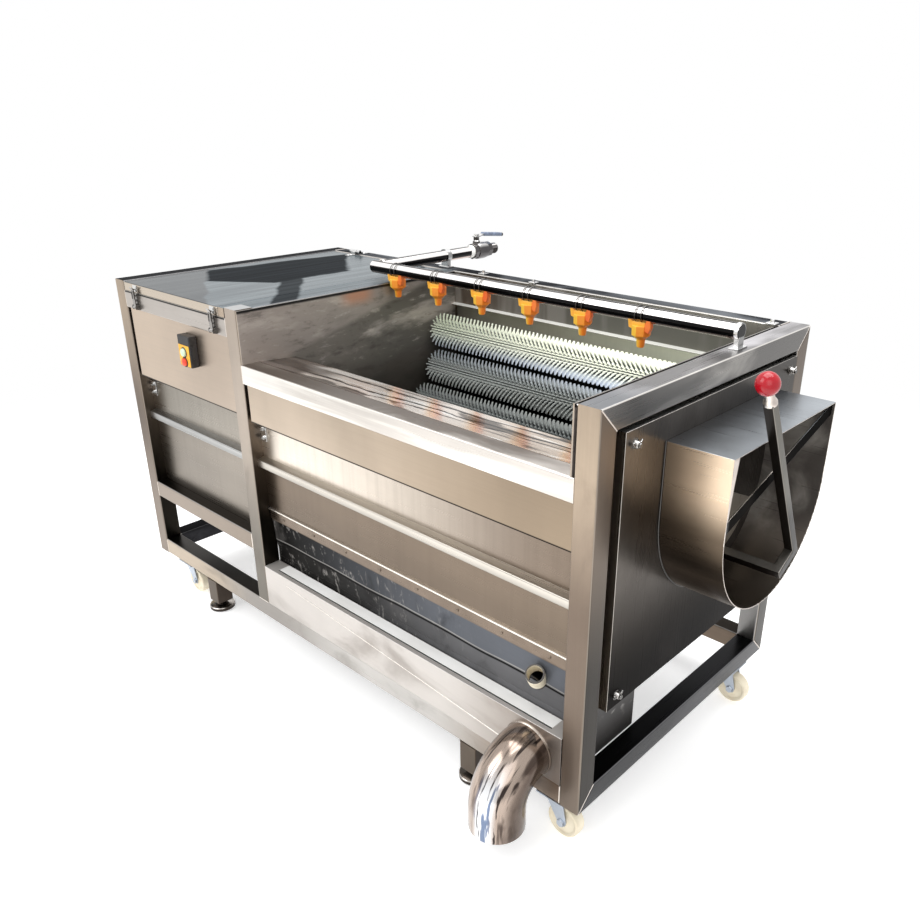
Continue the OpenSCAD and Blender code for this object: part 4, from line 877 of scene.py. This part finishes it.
def lid():
    shell = Shape()
    shell.block((52, 0, 845.3), (541, 747, 868))
    bottom = min(shell.mesh.faces, key=lambda f: f.calc_center_median().z)
    rim = set(bottom.edges)
    bmesh.ops.delete(shell.mesh, geom=[bottom], context="FACES_ONLY")
    shell.round([e for e in shell.mesh.edges if e not in rim], 3.5, 3)
    shell.finish("lid_shell", "lid", lid_steel, "panel_steel", "cabinet_lid", wall=2)
    parts = Shape()
    for x in LATCHES:
        parts.block((x - 11, -2, 847.5), (x + 11, 0.4, 865.5), 0.7)
        parts.block((x - 7, -6, 853), (x + 7, -1, 857), 1)
    for x in HINGES:
        parts.block((x - 9.5, 712, 867.6), (x + 9.5, 740, TALL), 0.6)
        parts.block((x - 9.5, 738, 867.6), (x + 9.5, 746, HINGE_Z), 1)
        parts.sleeve((x - 9.5, HINGE_Y, HINGE_Z), (1, 0, 0), 19, 3.05, 6, 24)
        for y in (719, 731):
            parts.rod((x, y, 869), (x, y, 871.4), 4, 2.6, sides=16)
    parts.finish("lid_fittings", "lid", bright_steel, "bright_hardware")
    leaves = Shape()
    for x in HINGES:
        leaves.block((x - 24, 758, TALL), (x + 24, 788, TALL + 2), 0.6)
        for left in (x - 24, x + 10):
            leaves.block((left, HINGE_Y, TALL + 1), (left + 14, 762, HINGE_Z), 1)
            leaves.rod((left, HINGE_Y, HINGE_Z), (left + 14, HINGE_Y, HINGE_Z), 6, sides=24, edge=0.8)
        leaves.rod((x - 24, HINGE_Y, HINGE_Z), (x + 24, HINGE_Y, HINGE_Z), 2.95, sides=16)
        for s in (-15, 0, 15):
            leaves.rod((x + s, 776, TALL + 1.5), (x + s, 776, TALL + 3.6), 4, 2.8, sides=16)
    leaves.finish("hinge_leaves", "frame", bright_steel, "bright_hardware", "lid_hinges")


def latches():
    base = Shape()
    cheek = [(-13, 806), (-11, 800), (-2, 798), (-2, 814), (-11, 812)]
    hook = [(-9.5, 808), (-6.5, 808), (-6.5, 850), (-9, 858), (-13, 862), (-14.5, 861), (-11.5, 856),
            (-9.5, 850)]
    for x in LATCHES:
        base.block((x - 10, -2, 797), (x + 10, 0.3, 843), 0.7)
        for s in (-10, 8):
            base.extruded(in_x(x + s, cheek), (2, 0, 0), 0.4)
        base.rod((x - 10.6, LATCH_PIN_Y, LATCH_PIN_Z), (x + 10.6, LATCH_PIN_Y, LATCH_PIN_Z), 2, sides=16)
        for z in (824, 837):
            base.turned((x, -2, z), (0, -1, 0), [(0, 3.4), (1.2, 2.8), (1.8, 0)], 16)
    base.finish("latch_plates", "frame", latch_steel, "bright_hardware", "latch_bases")
    for k, x in enumerate(LATCHES, 1):
        arm = Shape().extruded(in_x(x - 7, hook), (14, 0, 0), 0.7)
        arm.sleeve((x - 7, LATCH_PIN_Y, LATCH_PIN_Z), (1, 0, 0), 14, 2.05, 4.5, 20)
        arm.wire([(x - 5.5, -9.8, 828), (x - 5.5, -10.4, 850), (x + 5.5, -10.4, 850), (x + 5.5, -9.8, 828)],
                 1.2)
        arm.finish(f"latch_arm_{k}", f"latch_{k}", latch_steel, "bright_hardware", f"latch_lever_{k}")


# Trough, water and drain
def hopper_and_sump():
    skin("water_hopper", "hopper_sheet", hopper_steel, "dark_steel", 0.6, 100, smooth=10)
    skin("sump_pan", "sump_sheet", sump_steel, "panel_steel", 0.7, 100)
    drip = Shape().extruded(in_x(PLATE_LEFT + 3, [(51.4, 183), (49.2, 160), (51.2, 160), (53.4, 183)]),
                            (PLATE_RIGHT - PLATE_LEFT - 6, 0, 0), 0.5, 300)
    drip.finish("hopper_drip_edge", "frame", hopper_steel, "dark_steel")
    seam = Shape().wire([(718, -0.2, 145), (1497, -0.2, 83)], 1.3)
    seam.finish("sump_seam", "frame", weld_steel, "panel_steel")
    left, right = MID_RIGHT + 2, TROUGH_RIGHT - 2
    strap = Shape().block((left, 34.5, 304), (right, 48, 328), 0.8)
    rivets = 8
    for i in range(rivets):
        x = MID_RIGHT + (i + 0.5) * (TROUGH_RIGHT - MID_RIGHT) / rivets
        strap.turned((x, 35, 316), (0, -1, 0), [(0, 4.4), (1.6, 4), (2.6, 2.6), (3, 0)], 16)
    strap.finish("flange_strap", "frame", strap_steel, "panel_steel")
    bead = Shape().block((left, 30.5, 331.5), (right, 38, 336.5), 1.2)
    bead.finish("flange_bead", "frame", weld_steel, "panel_steel")
    glare_left, glare_right = 668, 1615
    # Painted shadow lines: a black strip under the bead, and one along the front of the white strip on the
    # sump's top.
    shade = Shape().block((left, 34.8, 326.5), (right, 38, 332), 0.4)
    shade.block((glare_left, 11.5, SUMP_TOP - 0.2), (glare_right, 14.8, SUMP_TOP + 0.6), 0.2)
    shade.finish("flange_shadow_lines", "frame", black, "panel_steel")
    # Painted glare: a white strip on the top of the sump's flange.
    glare_strip = Shape().block((glare_left, 14.5, SUMP_TOP - 0.2), (glare_right, 47, SUMP_TOP + 0.7), 0.3)
    glare_strip.finish("flange_glare", "frame", glare_white, "panel_steel")
    mouth = [(8, 20.2), (46, 20.2), (49, 19.6), (50, 18.4), (49, 16.8), (8, 16.8)]
    stub = Shape().turned((1550, 44.7, 237), (0.28, -0.574, 0.77), mouth, 40, closed=True)
    stub.finish("overflow_ring", "frame", cream, "wheel_nylon")


def drain():
    x, z, r, bend, lead, tail = 1565, 97, 60, 86, 10, 48
    pipe = Shape()
    upright = Matrix.Translation(at(x, 0, z)) @ Matrix.Rotation(math.radians(90), 4, "X")
    ring = bmesh.ops.create_circle(pipe.mesh, segments=48, radius=r * MM, matrix=upright)["verts"]
    edges = list({e for v in ring for e in v.link_edges})
    out = bmesh.ops.spin(pipe.mesh, geom=ring + edges, cent=at(x, 0, z), axis=(1, 0, 0),
                         dvec=(0, -lead * MM, 0), angle=0, steps=1)["geom_last"]
    out = bmesh.ops.spin(pipe.mesh, geom=out, cent=at(x, -lead, z - bend), axis=(1, 0, 0),
                         angle=math.radians(90), steps=20)["geom_last"]
    bmesh.ops.spin(pipe.mesh, geom=out, cent=at(x, -lead - bend, z - bend), axis=(1, 0, 0),
                   dvec=(0, 0, -tail * MM / 2), angle=0, steps=2)
    pipe.finish("drain_pipe", "frame", drain_steel, "polished_steel", "drain_elbow", wall=3)
    trim = Shape()
    trim.turned((x, 0, z), (0, -1, 0), [(0, r), (0, r + 2.4), (2, r + 2), (4, r)], 48, closed=True)
    trim.turned((x, -lead - bend, z - bend - tail), (0, 0, 1),
                [(0, r - 2.6), (0, r - 0.4), (2, r), (4, r - 0.4)], 48, closed=True)
    trim.finish("drain_welds", "frame", strap_steel, "polished_steel")


def spray_pipes():
    x, y, z = FEED_X, SPRAY_Y, SPRAY_Z
    bar = Shape()
    bar.rod((545, y, z), (1680, y, z), 17, sides=40, edge=2)
    bar.rod((x, y + 6, z), (x, 890, z), 16.9, sides=40, edge=1)
    bar.finish("spray_pipe", "frame", pipe_steel, "polished_steel", "spray_bar")
    joint = Shape()
    joint.turned((x, y + 17, z), (0, 1, 0), [(-3, 17), (-1, 20), (2, 17)], 40)
    joint.finish("spray_pipe_welds", "frame", weld_steel, "polished_steel")
    # A dark disc at the pipe's open end, in painted shade for its hollow.
    mouth = Shape()
    mouth.turned((1679.6, y, z), (1, 0, 0), [(0, 13.5), (0.3, 13.2), (0.35, 6), (0.35, 0)], 32)
    mouth.finish("spray_pipe_end", "frame", hollow_shade, "polished_steel")
    saddles = Shape()
    saddles.block((1664, y - 20, TALL), (1686, y + 20, TALL + 3), 1)
    saddles.block((1669, y - 11, TALL + 2), (1681, y + 11, z - 10), 1.5)
    saddles.sleeve((1671, y, z), (1, 0, 0), 8, 17.1, 18.6, 40)
    saddles.block((x - 22, 764, TALL), (x + 22, 786, TALL + 4), 1)
    saddles.block((x - 14, 768, TALL + 3), (x + 14, 782, z - 8), 1.5)
    saddles.sleeve((x, 767, z), (0, 1, 0), 16, 17.2, 20, 40)
    for clip_x, clip_y in ((729, 741), (925, 734), (1632, 726)):
        saddles.block((clip_x - 12, clip_y + 12, TALL), (clip_x + 12, clip_y + 32, TALL + 4), 1.2)
        saddles.rod((clip_x, clip_y + 22, TALL + 3), (clip_x, clip_y + 22, TALL + 11), 5, sides=6, edge=0.8)
    saddles.finish("pipe_saddles", "frame", bright_steel, "bright_hardware", "spray_brackets")


def nozzles():
    body, ears, clips = Shape(), Shape(), Shape()
    y, z = SPRAY_Y, SPRAY_Z
    spout = [(-2, 10), (2, 10), (15, 9), (19, 7.8), (19.6, 6), (19.6, 3.2), (8, 3)]
    tongue = [(-14, -34), (-27, -30), (-31, -6), (-26, 1), (-21, -13), (-14, -17)]
    ear = [(14, -33), (26, -38), (31, -24), (28, -4), (22, -2), (17, -15)]
    for x in NOZZLES:
        turn = about((x, y, z), "Z", 22.5)
        body.block((x - 17, y - 14, z - 26), (x + 17, y + 14, z - 14.4), 3)
        body.rod((x, y, z - 23), (x, y, z - 47), 22.5, 21.5, sides=8, edge=2.4, turn=turn)
        body.rod((x, y, z - 46), (x, y, z - 55), 20, 11, sides=8, edge=1.2, turn=turn)
        body.turned((x, y, z - 54), (0, 0, -1), spout, 24)
        body.extruded(in_y(y - 12, [(x + dx, z + dz) for dx, dz in tongue]), (0, 20, 0), 1.6)
        ears.extruded(in_y(y - 14, [(x + dx, z + dz) for dx, dz in ear]), (0, 12, 0), 1.6)
        for s in (-8, 8):
            loop = [(x + s, y + 20.5 * math.cos(a), z + 18.6 * math.sin(a))
                    for a in [math.radians(-48 + 276 * k / 20) for k in range(21)]]
            clips.wire(loop, 1.1)
    body.finish("nozzle_bodies", "frame", orange, "orange_plastic", "spray_nozzles")
    ears.finish("nozzle_ears", "frame", orange_red, "orange_plastic")
    clips.finish("nozzle_clips", "frame", dark_iron, "bright_hardware")


def valve():
    x, z, stem_y = FEED_X, SPRAY_Z, 910
    body = Shape()
    body.rod((x, 888, z), (x, 905, z), 24, sides=8, edge=1.4)
    body.turned((x, 903, z), (0, 1, 0), [(0, 20), (2, 24.5), (10, 26), (34, 26), (42, 24.5), (44, 20)], 40)
    body.rod((x, 947, z), (x, 964, z), 24, sides=8, edge=1.4)
    threads = [(0, 17), (1, 17)]
    for k in range(9):
        threads += [(2 + 3 * k, 15.6), (3.5 + 3 * k, 17)]
    body.turned((x, 963, z), (0, 1, 0), threads + [(31, 16), (31, 13), (0, 13)], 32, closed=True)
    body.turned((x, stem_y, z + 20), (0, 0, 1), [(0, 12), (10, 11), (12, 9), (21.5, 9), (21.5, 4.6)], 24)
    body.finish("valve_body", "frame", valve_metal, "polished_steel", "ball_valve")
    wound = [(0, 17.05), (1, 18.4), (6, 18), (11, 19), (16, 18.6), (16, 17.05)]
    winding = Shape().turned((x, 872, z), (0, 1, 0), wound, 32, closed=True)
    winding.finish("valve_tape", "frame", tape, "polished_steel")
    bent = [(899, 946), (899, 949.5), (921, 949.5), (932, 954), (944, 954), (944, 950.5), (933, 950.5),
            (923, 946)]
    arm = Shape().extruded(in_x(x - 8, bent), (16, 0, 0), 1.2)
    arm.rod((x, stem_y, 927), (x, stem_y, 951), 4.4, sides=16)
    arm.rod((x, stem_y, 949), (x, stem_y, 955), 8, sides=6, edge=1)
    arm.finish("valve_lever", "valve_arm", bright_steel, "bright_hardware")
    droop = about((x, 940, 952), "X", -6)
    grip = Shape().block((x - 10, 936, 946.2), (x + 10, 1022, 957.8), 5, turn=droop, segments=4)
    for y in (956, 972, 988, 1004):
        grip.block((x - 10.4, y, 947.6), (x + 10.4, y + 5, 957.9), 2, turn=droop)
    grip.finish("valve_grip", "valve_arm", grip_coat, "handle_coating", "valve_handle")
    cap = Shape().block((x - 9.4, 1018, 946.6), (x + 9.4, 1028, 957.4), 4, turn=droop, segments=3)
    cap.finish("valve_grip_end", "valve_arm", black, "black_plastic")


# Brush rollers and their drive
def sprocket(shape, x, y, z):
    """A chain sprocket with eighteen teeth, eight millimetres thick, and its hub."""
    shape.extruded(in_x(x, toothed((y, z), 36, 4.6, 18)), (8, 0, 0))
    shape.turned((x - 4, y, z), (1, 0, 0), [(0, 12), (0, 19), (4, 20), (14, 20), (14, 12)], 24)


def tuft_rows():
    """One roller's bristles about the X axis through the frame's corner, as staggered rings of tufts."""
    rows = Shape()
    columns, around, root, tip = 144, 18, 20, 49.8
    pitch = (BRUSH_RIGHT - BRUSH_LEFT) / columns
    rng = random.Random(7)
    for row in range(2):
        x = BRUSH_LEFT + (row + 0.5) * pitch
        turn = about((0, 0, 0), "X", row * 180 / around)
        for side in (-1, 1):
            for way in (-1, 1):
                dx, dy = side * rng.uniform(0.5, 0.7), way * rng.uniform(0.6, 0.8)
                high = tip - rng.uniform(0, 1.0)
                rows.rod((x + dx, dy, root), (x + dx * 1.3, dy * 1.4, high), 0.9, 0.95, 3, turn=turn)
    ring = (around - 1, math.tau * (1 - 1 / around), 0)
    length = (columns // 2 - 1, 0, 2 * pitch * MM)
    for copies, angle, along in (ring, length):
        geometry = rows.mesh.verts[:] + rows.mesh.edges[:] + rows.mesh.faces[:]
        bmesh.ops.spin(rows.mesh, geom=geometry, cent=at(0, 0, 0), axis=(1, 0, 0), angle=angle,
                       dvec=(along, 0, 0), steps=copies, use_duplicate=True)
    reach = rows.mesh.verts.layers.float.new("reach")
    for v in rows.mesh.verts:
        v[reach] = ((v.co - CORNER).yz.length / MM - root) / (tip - root)
    return rows


def rollers():
    pattern = tuft_rows()
    for k, (y, z) in enumerate(ROLLERS, 1):
        brush = Shape()
        brush.mesh = pattern.mesh.copy()
        brush.mesh.transform(Matrix.Translation(Vector((0, y, z)) * MM) @ about((0, 0, 0), "X", 5.3 * k))
        body = f"roller_{k}"
        brush.finish(f"bristles_{k}", body, bristle, "brush_nylon", f"brush_roller_{k}", smooth=20)
        core = Shape().rod((BRUSH_LEFT, y, z), (BRUSH_RIGHT, y, z), 21, sides=40, edge=2)
        core.finish(f"brush_core_{k}", body, brush_core, "brush_nylon")
        shaft = Shape().rod((558, y, z), (1660, y, z), 12.5, sides=24, edge=1)
        sprocket(shaft, ROLLER_CHAIN_X, y, z)
        if k == DRIVEN:
            sprocket(shaft, MOTOR_CHAIN_X, y, z)
        shaft.finish(f"roller_shaft_{k}", body, shaft_steel, "bright_hardware")
    pattern.mesh.free()
    housings = Shape()
    flanged = [(0, 12.6), (0, 34), (6, 34), (8, 32), (8, 24), (14, 22), (15, 20), (15, 12.6)]
    for y, z in ROLLERS:
        for x, way in ((MID_RIGHT, -1), (1644, 1)):
            housings.turned((x, y, z), (way, 0, 0), flanged, 32, closed=True)
            for a in range(4):
                turn = about((x, y, z), "X", 45 + 90 * a)
                housings.rod((x + way * 7, y, z + 28.5), (x + way * 11, y, z + 28.5), 4, sides=6, edge=0.6,
                             turn=turn)
    housings.finish("bearing_housings", "frame", dark_iron, "bearing_iron", "roller_bearings")


def chain_path(points):
    """Evenly spaced points round a closed loop, an even number of them about a chain's pitch apart."""
    loop = [Vector(p) for p in points] + [Vector(points[0])]
    length = sum((b - a).length for a, b in zip(loop, loop[1:]))
    count = 2 * round(length / CHAIN_PITCH / 2)
    step, spaced, carried = length / count, [], 0.0
    for a, b in zip(loop, loop[1:]):
        run = (b - a).length
        while carried < run and len(spaced) < count:
            spaced.append(a.lerp(b, carried / run))
            carried += step
        carried -= run
    return spaced


def chains():
    links = Shape()
    r, span, first, last = CHAIN_R, 7 * STEP + FIRST, ROLLERS[0], ROLLERS[7]
    bed = (BED_Y, BED_Z)
    around = (arc(bed, BED_R + r, 0, -span, 60) + arc(last, r, -span, -span - math.pi)[1:-1]
              + arc(bed, BED_R - r, -span, 0, 40) + arc(first, r, math.pi, 0)[1:-1])
    driven = ROLLERS[DRIVEN - 1]
    lean = math.atan2(driven[1] - MOTOR_Z, driven[0] - MOTOR_Y)
    short = (arc((MOTOR_Y, MOTOR_Z), r, lean + math.pi / 2, lean + 1.5 * math.pi)
             + arc(driven, r, lean - math.pi / 2, lean + math.pi / 2))
    for x, loop in ((ROLLER_CHAIN_X, around), (MOTOR_CHAIN_X, short)):
        path = chain_path(loop)
        for k, (a, b) in enumerate(zip(path, path[1:] + path[:1])):
            turn = about((0, a.x, a.y), "X", math.degrees(math.atan2(b.y - a.y, b.x - a.x)))
            run = (b - a).length
            inset = 1.2 * (k % 2)
            for side in (x + 1 + inset, x + 5.8 - inset):
                links.block((side, a.x - 2.2, a.y - 2.2), (side + 1.2, a.x + run + 2.2, a.y + 2.2), turn=turn)
            links.rod((x + 1.1, a.x, a.y), (x + 6.9, a.x, a.y), 1.8, sides=6)
    links.finish("chain_links", "frame", chain_steel, "chain_steel", "drive_chains")


def motor():
    y, z = MOTOR_Y, MOTOR_Z
    case = Shape()
    case.block((420, 175, 255), (550, 325, 419), 9, segments=3)
    case.block((414, 168, 262), (424, 332, 412), 3)
    case.turned((550, y, z), (1, 0, 0), [(-4, 46), (4, 46), (6, 44), (6, 24), (7, 22), (7, 12.1)], 40)
    for a in range(6):
        turn = about((550, y, z), "X", 60 * a)
        case.rod((550, y, z + 36), (559, y, z + 36), 4, sides=6, edge=0.6, turn=turn)
    case.extruded(in_x(205, toothed((y, z), 75, 8, 30)), (210, 0, 0))
    case.turned((205, y, z), (-1, 0, 0), [(0, 60), (0, 74.5), (22, 74.5), (30, 70), (34, 58), (34, 0)], 40)
    for s in (-34, -17, 0, 17, 34):
        half = math.sqrt(52 * 52 - s * s)
        case.block((170.2, y + s - 2.5, z - half), (172.4, y + s + 2.5, z + half), 0.5)
    case.block((210, y - 60, 255), (360, y + 60, 267), 3)
    case.block((225, y - 46, 262), (345, y + 46, z - 50), 5)
    case.block((250, y - 42, z + 66), (340, y + 42, z + 98), 5, segments=3)
    case.block((246, y - 46, z + 96), (344, y + 46, z + 104), 3)
    case.finish("motor_case", "frame", motor_paint, "motor_paint", "gear_motor")
    drive = Shape().rod((512, y, z), (572, y, z), 11.9, sides=24, edge=1)
    sprocket(drive, MOTOR_CHAIN_X, y, z)
    drive.finish("motor_drive", "motor_output", shaft_steel, "bright_hardware", "motor_sprocket")


# Discharge end
def half_round(x, r, top):
    """The line of the chute's sheet at x: down one side, round below the pivot and up the other side."""
    return in_x(x, [(PIVOT_Y - r, top)] + arc((PIVOT_Y, PIVOT_Z), r, math.pi, math.tau, 40)
                + [(PIVOT_Y + r, top)])


def discharge():
    pivot, foot = (COVER_X, PIVOT_Y, PIVOT_Z), (LEVER_X, PIVOT_Y, PIVOT_Z)
    skin("discharge_chute", "chute_sheet", chute_steel, "panel_steel", 0.7, 60, smooth=20)
    trim = Shape().wire(half_round(CHUTE_X - 0.6, CHUTE_R, CHUTE_TOP - 1), 1.0, closed=True)
    gusset = [(207, 638), (207, 757), (228, 757), (219, 700), (212, 640)]
    trim.extruded(in_x(CHUTE_X - 3, gusset), (2, 0, 0), 0.5)
    trim.finish("chute_rim", "frame", weld_steel, "panel_steel")
    inner = in_x(COVER_X + 1.5, arc((PIVOT_Y, PIVOT_Z), 218.4, math.pi, math.tau, 40))
    ends = in_x(COVER_X + 1, [(PIVOT_Y - 218, CHUTE_TOP), (PIVOT_Y + 218, CHUTE_TOP)])
    seam = Shape().wire(ends[:1] + inner + ends[1:], 1.6)
    seam.finish("chute_seam", "frame", dark_iron, "panel_steel")
    skin("gate_plate", "gate_sheet", gate_steel, "dark_steel", 0.6, 100, body="gate")
    headed = [(0, 0), (0, 25), (3, 25), (4, 24), (4, 8), (16.6, 8), (16.6, 13), (19, 13), (20.3, 11.6),
              (20.3, 0)]
    pin = Shape().turned(pivot, (1, 0, 0), headed, 32)
    pin.finish("gate_pin", "frame", bright_steel, "bright_hardware", "gate_pivot")
    skin("gate_lever", "lever_bar", lever_steel, "dark_steel", 2.4, 15, body="gate", segments=3)
    lean = about(foot, "X", LEAN)
    neck = [(0, 10.5), (1, 12.5), (6, 13), (10, 11.5), (14, 9.5), (20, 9), (26, 8.6)]
    collar = Shape().turned((LEVER_X, PIVOT_Y, PIVOT_Z + 284), (0, 0, 1), neck, 24, turn=lean)
    collar.finish("lever_weld", "gate", weld_steel, "bright_hardware")
    ball_r, ball_high = 22, 332
    ball = [(ball_high + ball_r * math.sin(a), ball_r * math.cos(a))
            for a in [math.radians(-70 + 160 * k / 20) for k in range(20)]]
    profile = [(306, 7.2), (309, 7.6)] + ball + [(ball_high + ball_r, 0)]
    knob = Shape().turned(foot, (0, 0, 1), profile, 40, turn=lean)
    knob.finish("lever_ball", "gate", red, "red_plastic", "lever_knob", smooth=50)


def cover_fasteners():
    nuts = Shape()
    nut = [(0, 5), (0, 11), (1.5, 11), (1.5, 8.4), (8, 7.2), (10, 6), (10, 5)]
    wing = [(5, -2), (10, -3), (14, 1), (16, 6), (13, 8), (9, 4), (5, 3)]
    for y, z in STUDS:
        nuts.rod((1644, y, z), (1718, y, z), 5, sides=16, edge=1)
        nuts.turned((COVER_X, y, z), (1, 0, 0), nut, 24)
        for way in (-1, 1):
            nuts.extruded(in_x(COVER_X + 3, [(y + way * a, z + b) for a, b in wing]), (5, 0, 0), 1.2)
    nuts.finish("cover_wing_nuts", "frame", latch_steel, "bright_hardware", "fasteners")


# Switch
def switch():
    box = Shape().block((354, -20, 688), (412, 4, 772), 3, segments=3)
    box.block((412, -15, 712), (414, -7, 748), 0.8)
    ring = [(-1, 11.4), (-1, 14), (1.5, 14), (2.6, 13), (2.6, 11.4)]
    for z in (START_Z, STOP_Z):
        box.turned((BUTTON_X, -20, z), (0, -1, 0), ring, 32, closed=True)
    box.finish("switch_case", "frame", black, "black_plastic", "switch_box")
    plate = Shape().block((357.5, -21.2, 690.5), (408.5, -19.4, 747), 0.8)
    plate.finish("switch_plate", "frame", yellow, "black_plastic")
    domed = [(0, 0), (0, 11), (14, 11), (16.6, 9.8), (18, 6.5), (18, 0)]
    for z, name, look, slot in ((START_Z, "start", green, "pale_green_plastic"),
                                (STOP_Z, "stop", stop_red, "red_plastic")):
        cap = Shape().turned((BUTTON_X, -10, z), (0, -1, 0), domed, 32)
        cap.finish(f"{name}_cap", f"{name}_push", look, slot, f"{name}_button")


# Running gear
def casters():
    plates = Shape()
    for x, y in CASTERS:
        plates.block((x - 35, y - 35, -5), (x + 35, y + 35, -0.2), 1.4)
        for dx in (-26, 26):
            for dy in (-26, 26):
                plates.rod((x + dx, y + dy, -5), (x + dx, y + dy, -10), 6, sides=6, edge=0.8)
    plates.finish("caster_pads", "frame", zinc_steel, "zinc_steel", "caster_plates")
    race = [(0, 0), (0, 24), (2, 26), (6, 26), (8, 23.5), (12, 23.5), (12, 0)]
    side = [(0.5, 5.2), (-0.7, 6), (-0.7, 12), (1.5, 13), (3, 16), (3, 29), (0.5, 32), (0, 35.5),
            (1.5, 38.5), (5, WHEEL_R)]
    wheel_wide = 28
    tyre = side + [(wheel_wide - d, r) for d, r in reversed(side)]
    for k, (x, y) in enumerate(CASTERS, 1):
        axle_x, axle_z = x + 22, WHEEL_R - CASTER_TALL
        fork = Shape().turned((x, y, -5.3), (0, 0, -1), race, 40)
        leg = [(x - 22, -15), (x + 24, -15), (axle_x + 13, axle_z + 4), (axle_x + 9, axle_z - 8),
               (axle_x - 4, axle_z - 9), (axle_x - 9, axle_z - 3)]
        for s in (-19, 15):
            fork.extruded(in_y(y + s, leg), (0, 4, 0), 1.2)
        fork.rod((axle_x, y - 23, axle_z), (axle_x, y + 23, axle_z), 5, sides=20, edge=0.8)
        for a, b in ((-19, -24), (19, 24)):
            fork.rod((axle_x, y + a, axle_z), (axle_x, y + b, axle_z), 9.5, sides=6, edge=1.2)
        fork.finish(f"fork_{k}_body", f"fork_{k}", zinc_steel, "zinc_steel", f"caster_fork_{k}")
        wheel = Shape().turned((axle_x, y - wheel_wide / 2, axle_z), (0, 1, 0), tyre, 48, closed=True)
        wheel.finish(f"wheel_{k}_tyre", f"wheel_{k}", cream, "wheel_nylon", f"caster_wheel_{k}")


def legs():
    skin("leg_sleeves", "leg_tubes", leg_steel, "frame_steel", 3, 30, segments=3)
    feet = Shape()
    disc = [(0, 0), (0, 36), (2, 38), (10, 38), (12, 36), (14, 22), (15, 13), (15, 0)]
    stem = [(14, 10)]
    for t in range(20):
        stem += [(15 + 3.5 * t, 10), (16.7 + 3.5 * t, 8.8)]
    stem += [(88, 8), (88, 0)]
    for x, y in LEGS:
        feet.turned((x, y, -103), (0, 0, 1), disc, 48)
        feet.turned((x, y, -103), (0, 0, 1), stem, 24)
        feet.rod((x, y, -87.5), (x, y, -82), 15, sides=6, edge=1.2)
    feet.finish("foot_discs", "feet", foot_steel, "zinc_steel", "levelling_feet")


# The studio
def surroundings(scene):
    """White to the camera and in mirrors and glass, and a softer light on everything else."""
    world = bpy.data.worlds.new("studio")
    scene.world = world
    world.use_nodes = True
    tree = world.node_tree
    tree.nodes.clear()
    kinds = ("LightPath", "Math", "Math", "Background", "Background", "MixShader", "OutputWorld")
    path, first, second, seen, soft, blend, out = [tree.nodes.new("ShaderNode" + kind) for kind in kinds]
    second.use_clamp = True
    for light, strength in ((soft, 0.8), (seen, 1.0)):
        light.inputs["Color"].default_value = (1.0, 1.0, 1.0, 1.0)
        light.inputs["Strength"].default_value = strength
    for source, output, target, socket in (
            (path, "Is Camera Ray", first, 0), (path, "Is Glossy Ray", first, 1), (first, 0, second, 0),
            (path, "Is Transmission Ray", second, 1), (second, 0, blend, 0), (soft, 0, blend, 1),
            (seen, 0, blend, 2), (blend, 0, out, 0)):
        tree.links.new(source.outputs[output], target.inputs[socket])


def lamps(scene):
    aim = Vector((0.0, 0.0, 0.45))
    for name, place, size, power in (("key", (-1.6, -3.0, 3.2), 2.6, 60), ("fill", (2.6, -2.6, 2.4), 2.6, 25),
                                     ("top", (0.2, 0.4, 3.6), 3.0, 110)):
        lamp = bpy.data.lights.new(name, "AREA")
        lamp.size = size
        lamp.energy = power
        holder = bpy.data.objects.new(name, lamp)
        holder.location = place
        holder.rotation_euler = (aim - Vector(place)).to_track_quat("-Z", "Y").to_euler()
        scene.collection.objects.link(holder)


def floor_disc(scene):
    """A pale floor that fades into the white around it."""
    ground = bmesh.new()
    bmesh.ops.create_circle(ground, cap_ends=True, segments=64, radius=6.0)
    data = bpy.data.meshes.new("floor")
    ground.to_mesh(data)
    ground.free()
    floor = bpy.data.objects.new("floor", data)
    scene.collection.objects.link(floor)
    pale = Finish("floor_paint")
    paint = pale.mix(pale.noise(2.0), (0.86, 0.86, 0.86, 1.0), (0.9, 0.9, 0.9, 1.0))
    pale.surface(paint, 0.0, 0.9, **{"Emission Color": (1.0, 1.0, 1.0, 1.0), "Emission Strength": 0.45})
    away = pale.node("ShaderNodeVectorMath", {0: pale.spot}, out="Value", operation="LENGTH")
    clear = pale.node("ShaderNodeBsdfTransparent")
    painted = Val(pale, pale.shader.outputs[0])
    faded = pale.node("ShaderNodeMixShader", {0: away.rise(1.6, 3.2), 1: painted, 2: clear})
    out = next(n for n in pale.tree.nodes if n.type == "OUTPUT_MATERIAL")
    pale.tree.links.new(faded.socket, out.inputs[0])
    data.materials.append(pale.material)


def photo_camera(scene):
    """The camera as it stood for the photograph."""
    camera = bpy.data.cameras.new("camera")
    camera.lens = 33.39
    camera.sensor_width = 36
    camera.shift_x = -0.0268
    camera.shift_y = 0.0275
    eye = bpy.data.objects.new("camera", camera)
    eye.location = at(2452.68, -1090.32, 1320.12)
    eye.rotation_euler = Vector((-0.62135, 0.66991, -0.40637)).to_track_quat("-Z", "Y").to_euler()
    scene.collection.objects.link(eye)
    scene.camera = eye


def studio():
    scene = bpy.context.scene
    scene.view_settings.view_transform = "Standard"
    surroundings(scene)
    lamps(scene)
    floor_disc(scene)
    photo_camera(scene)


welded_frame()
panels()
lid()
latches()
hopper_and_sump()
drain()
spray_pipes()
nozzles()
valve()
rollers()
chains()
motor()
discharge()
cover_fasteners()
switch()
casters()
legs()
studio()

bpy.context.view_layer.update()
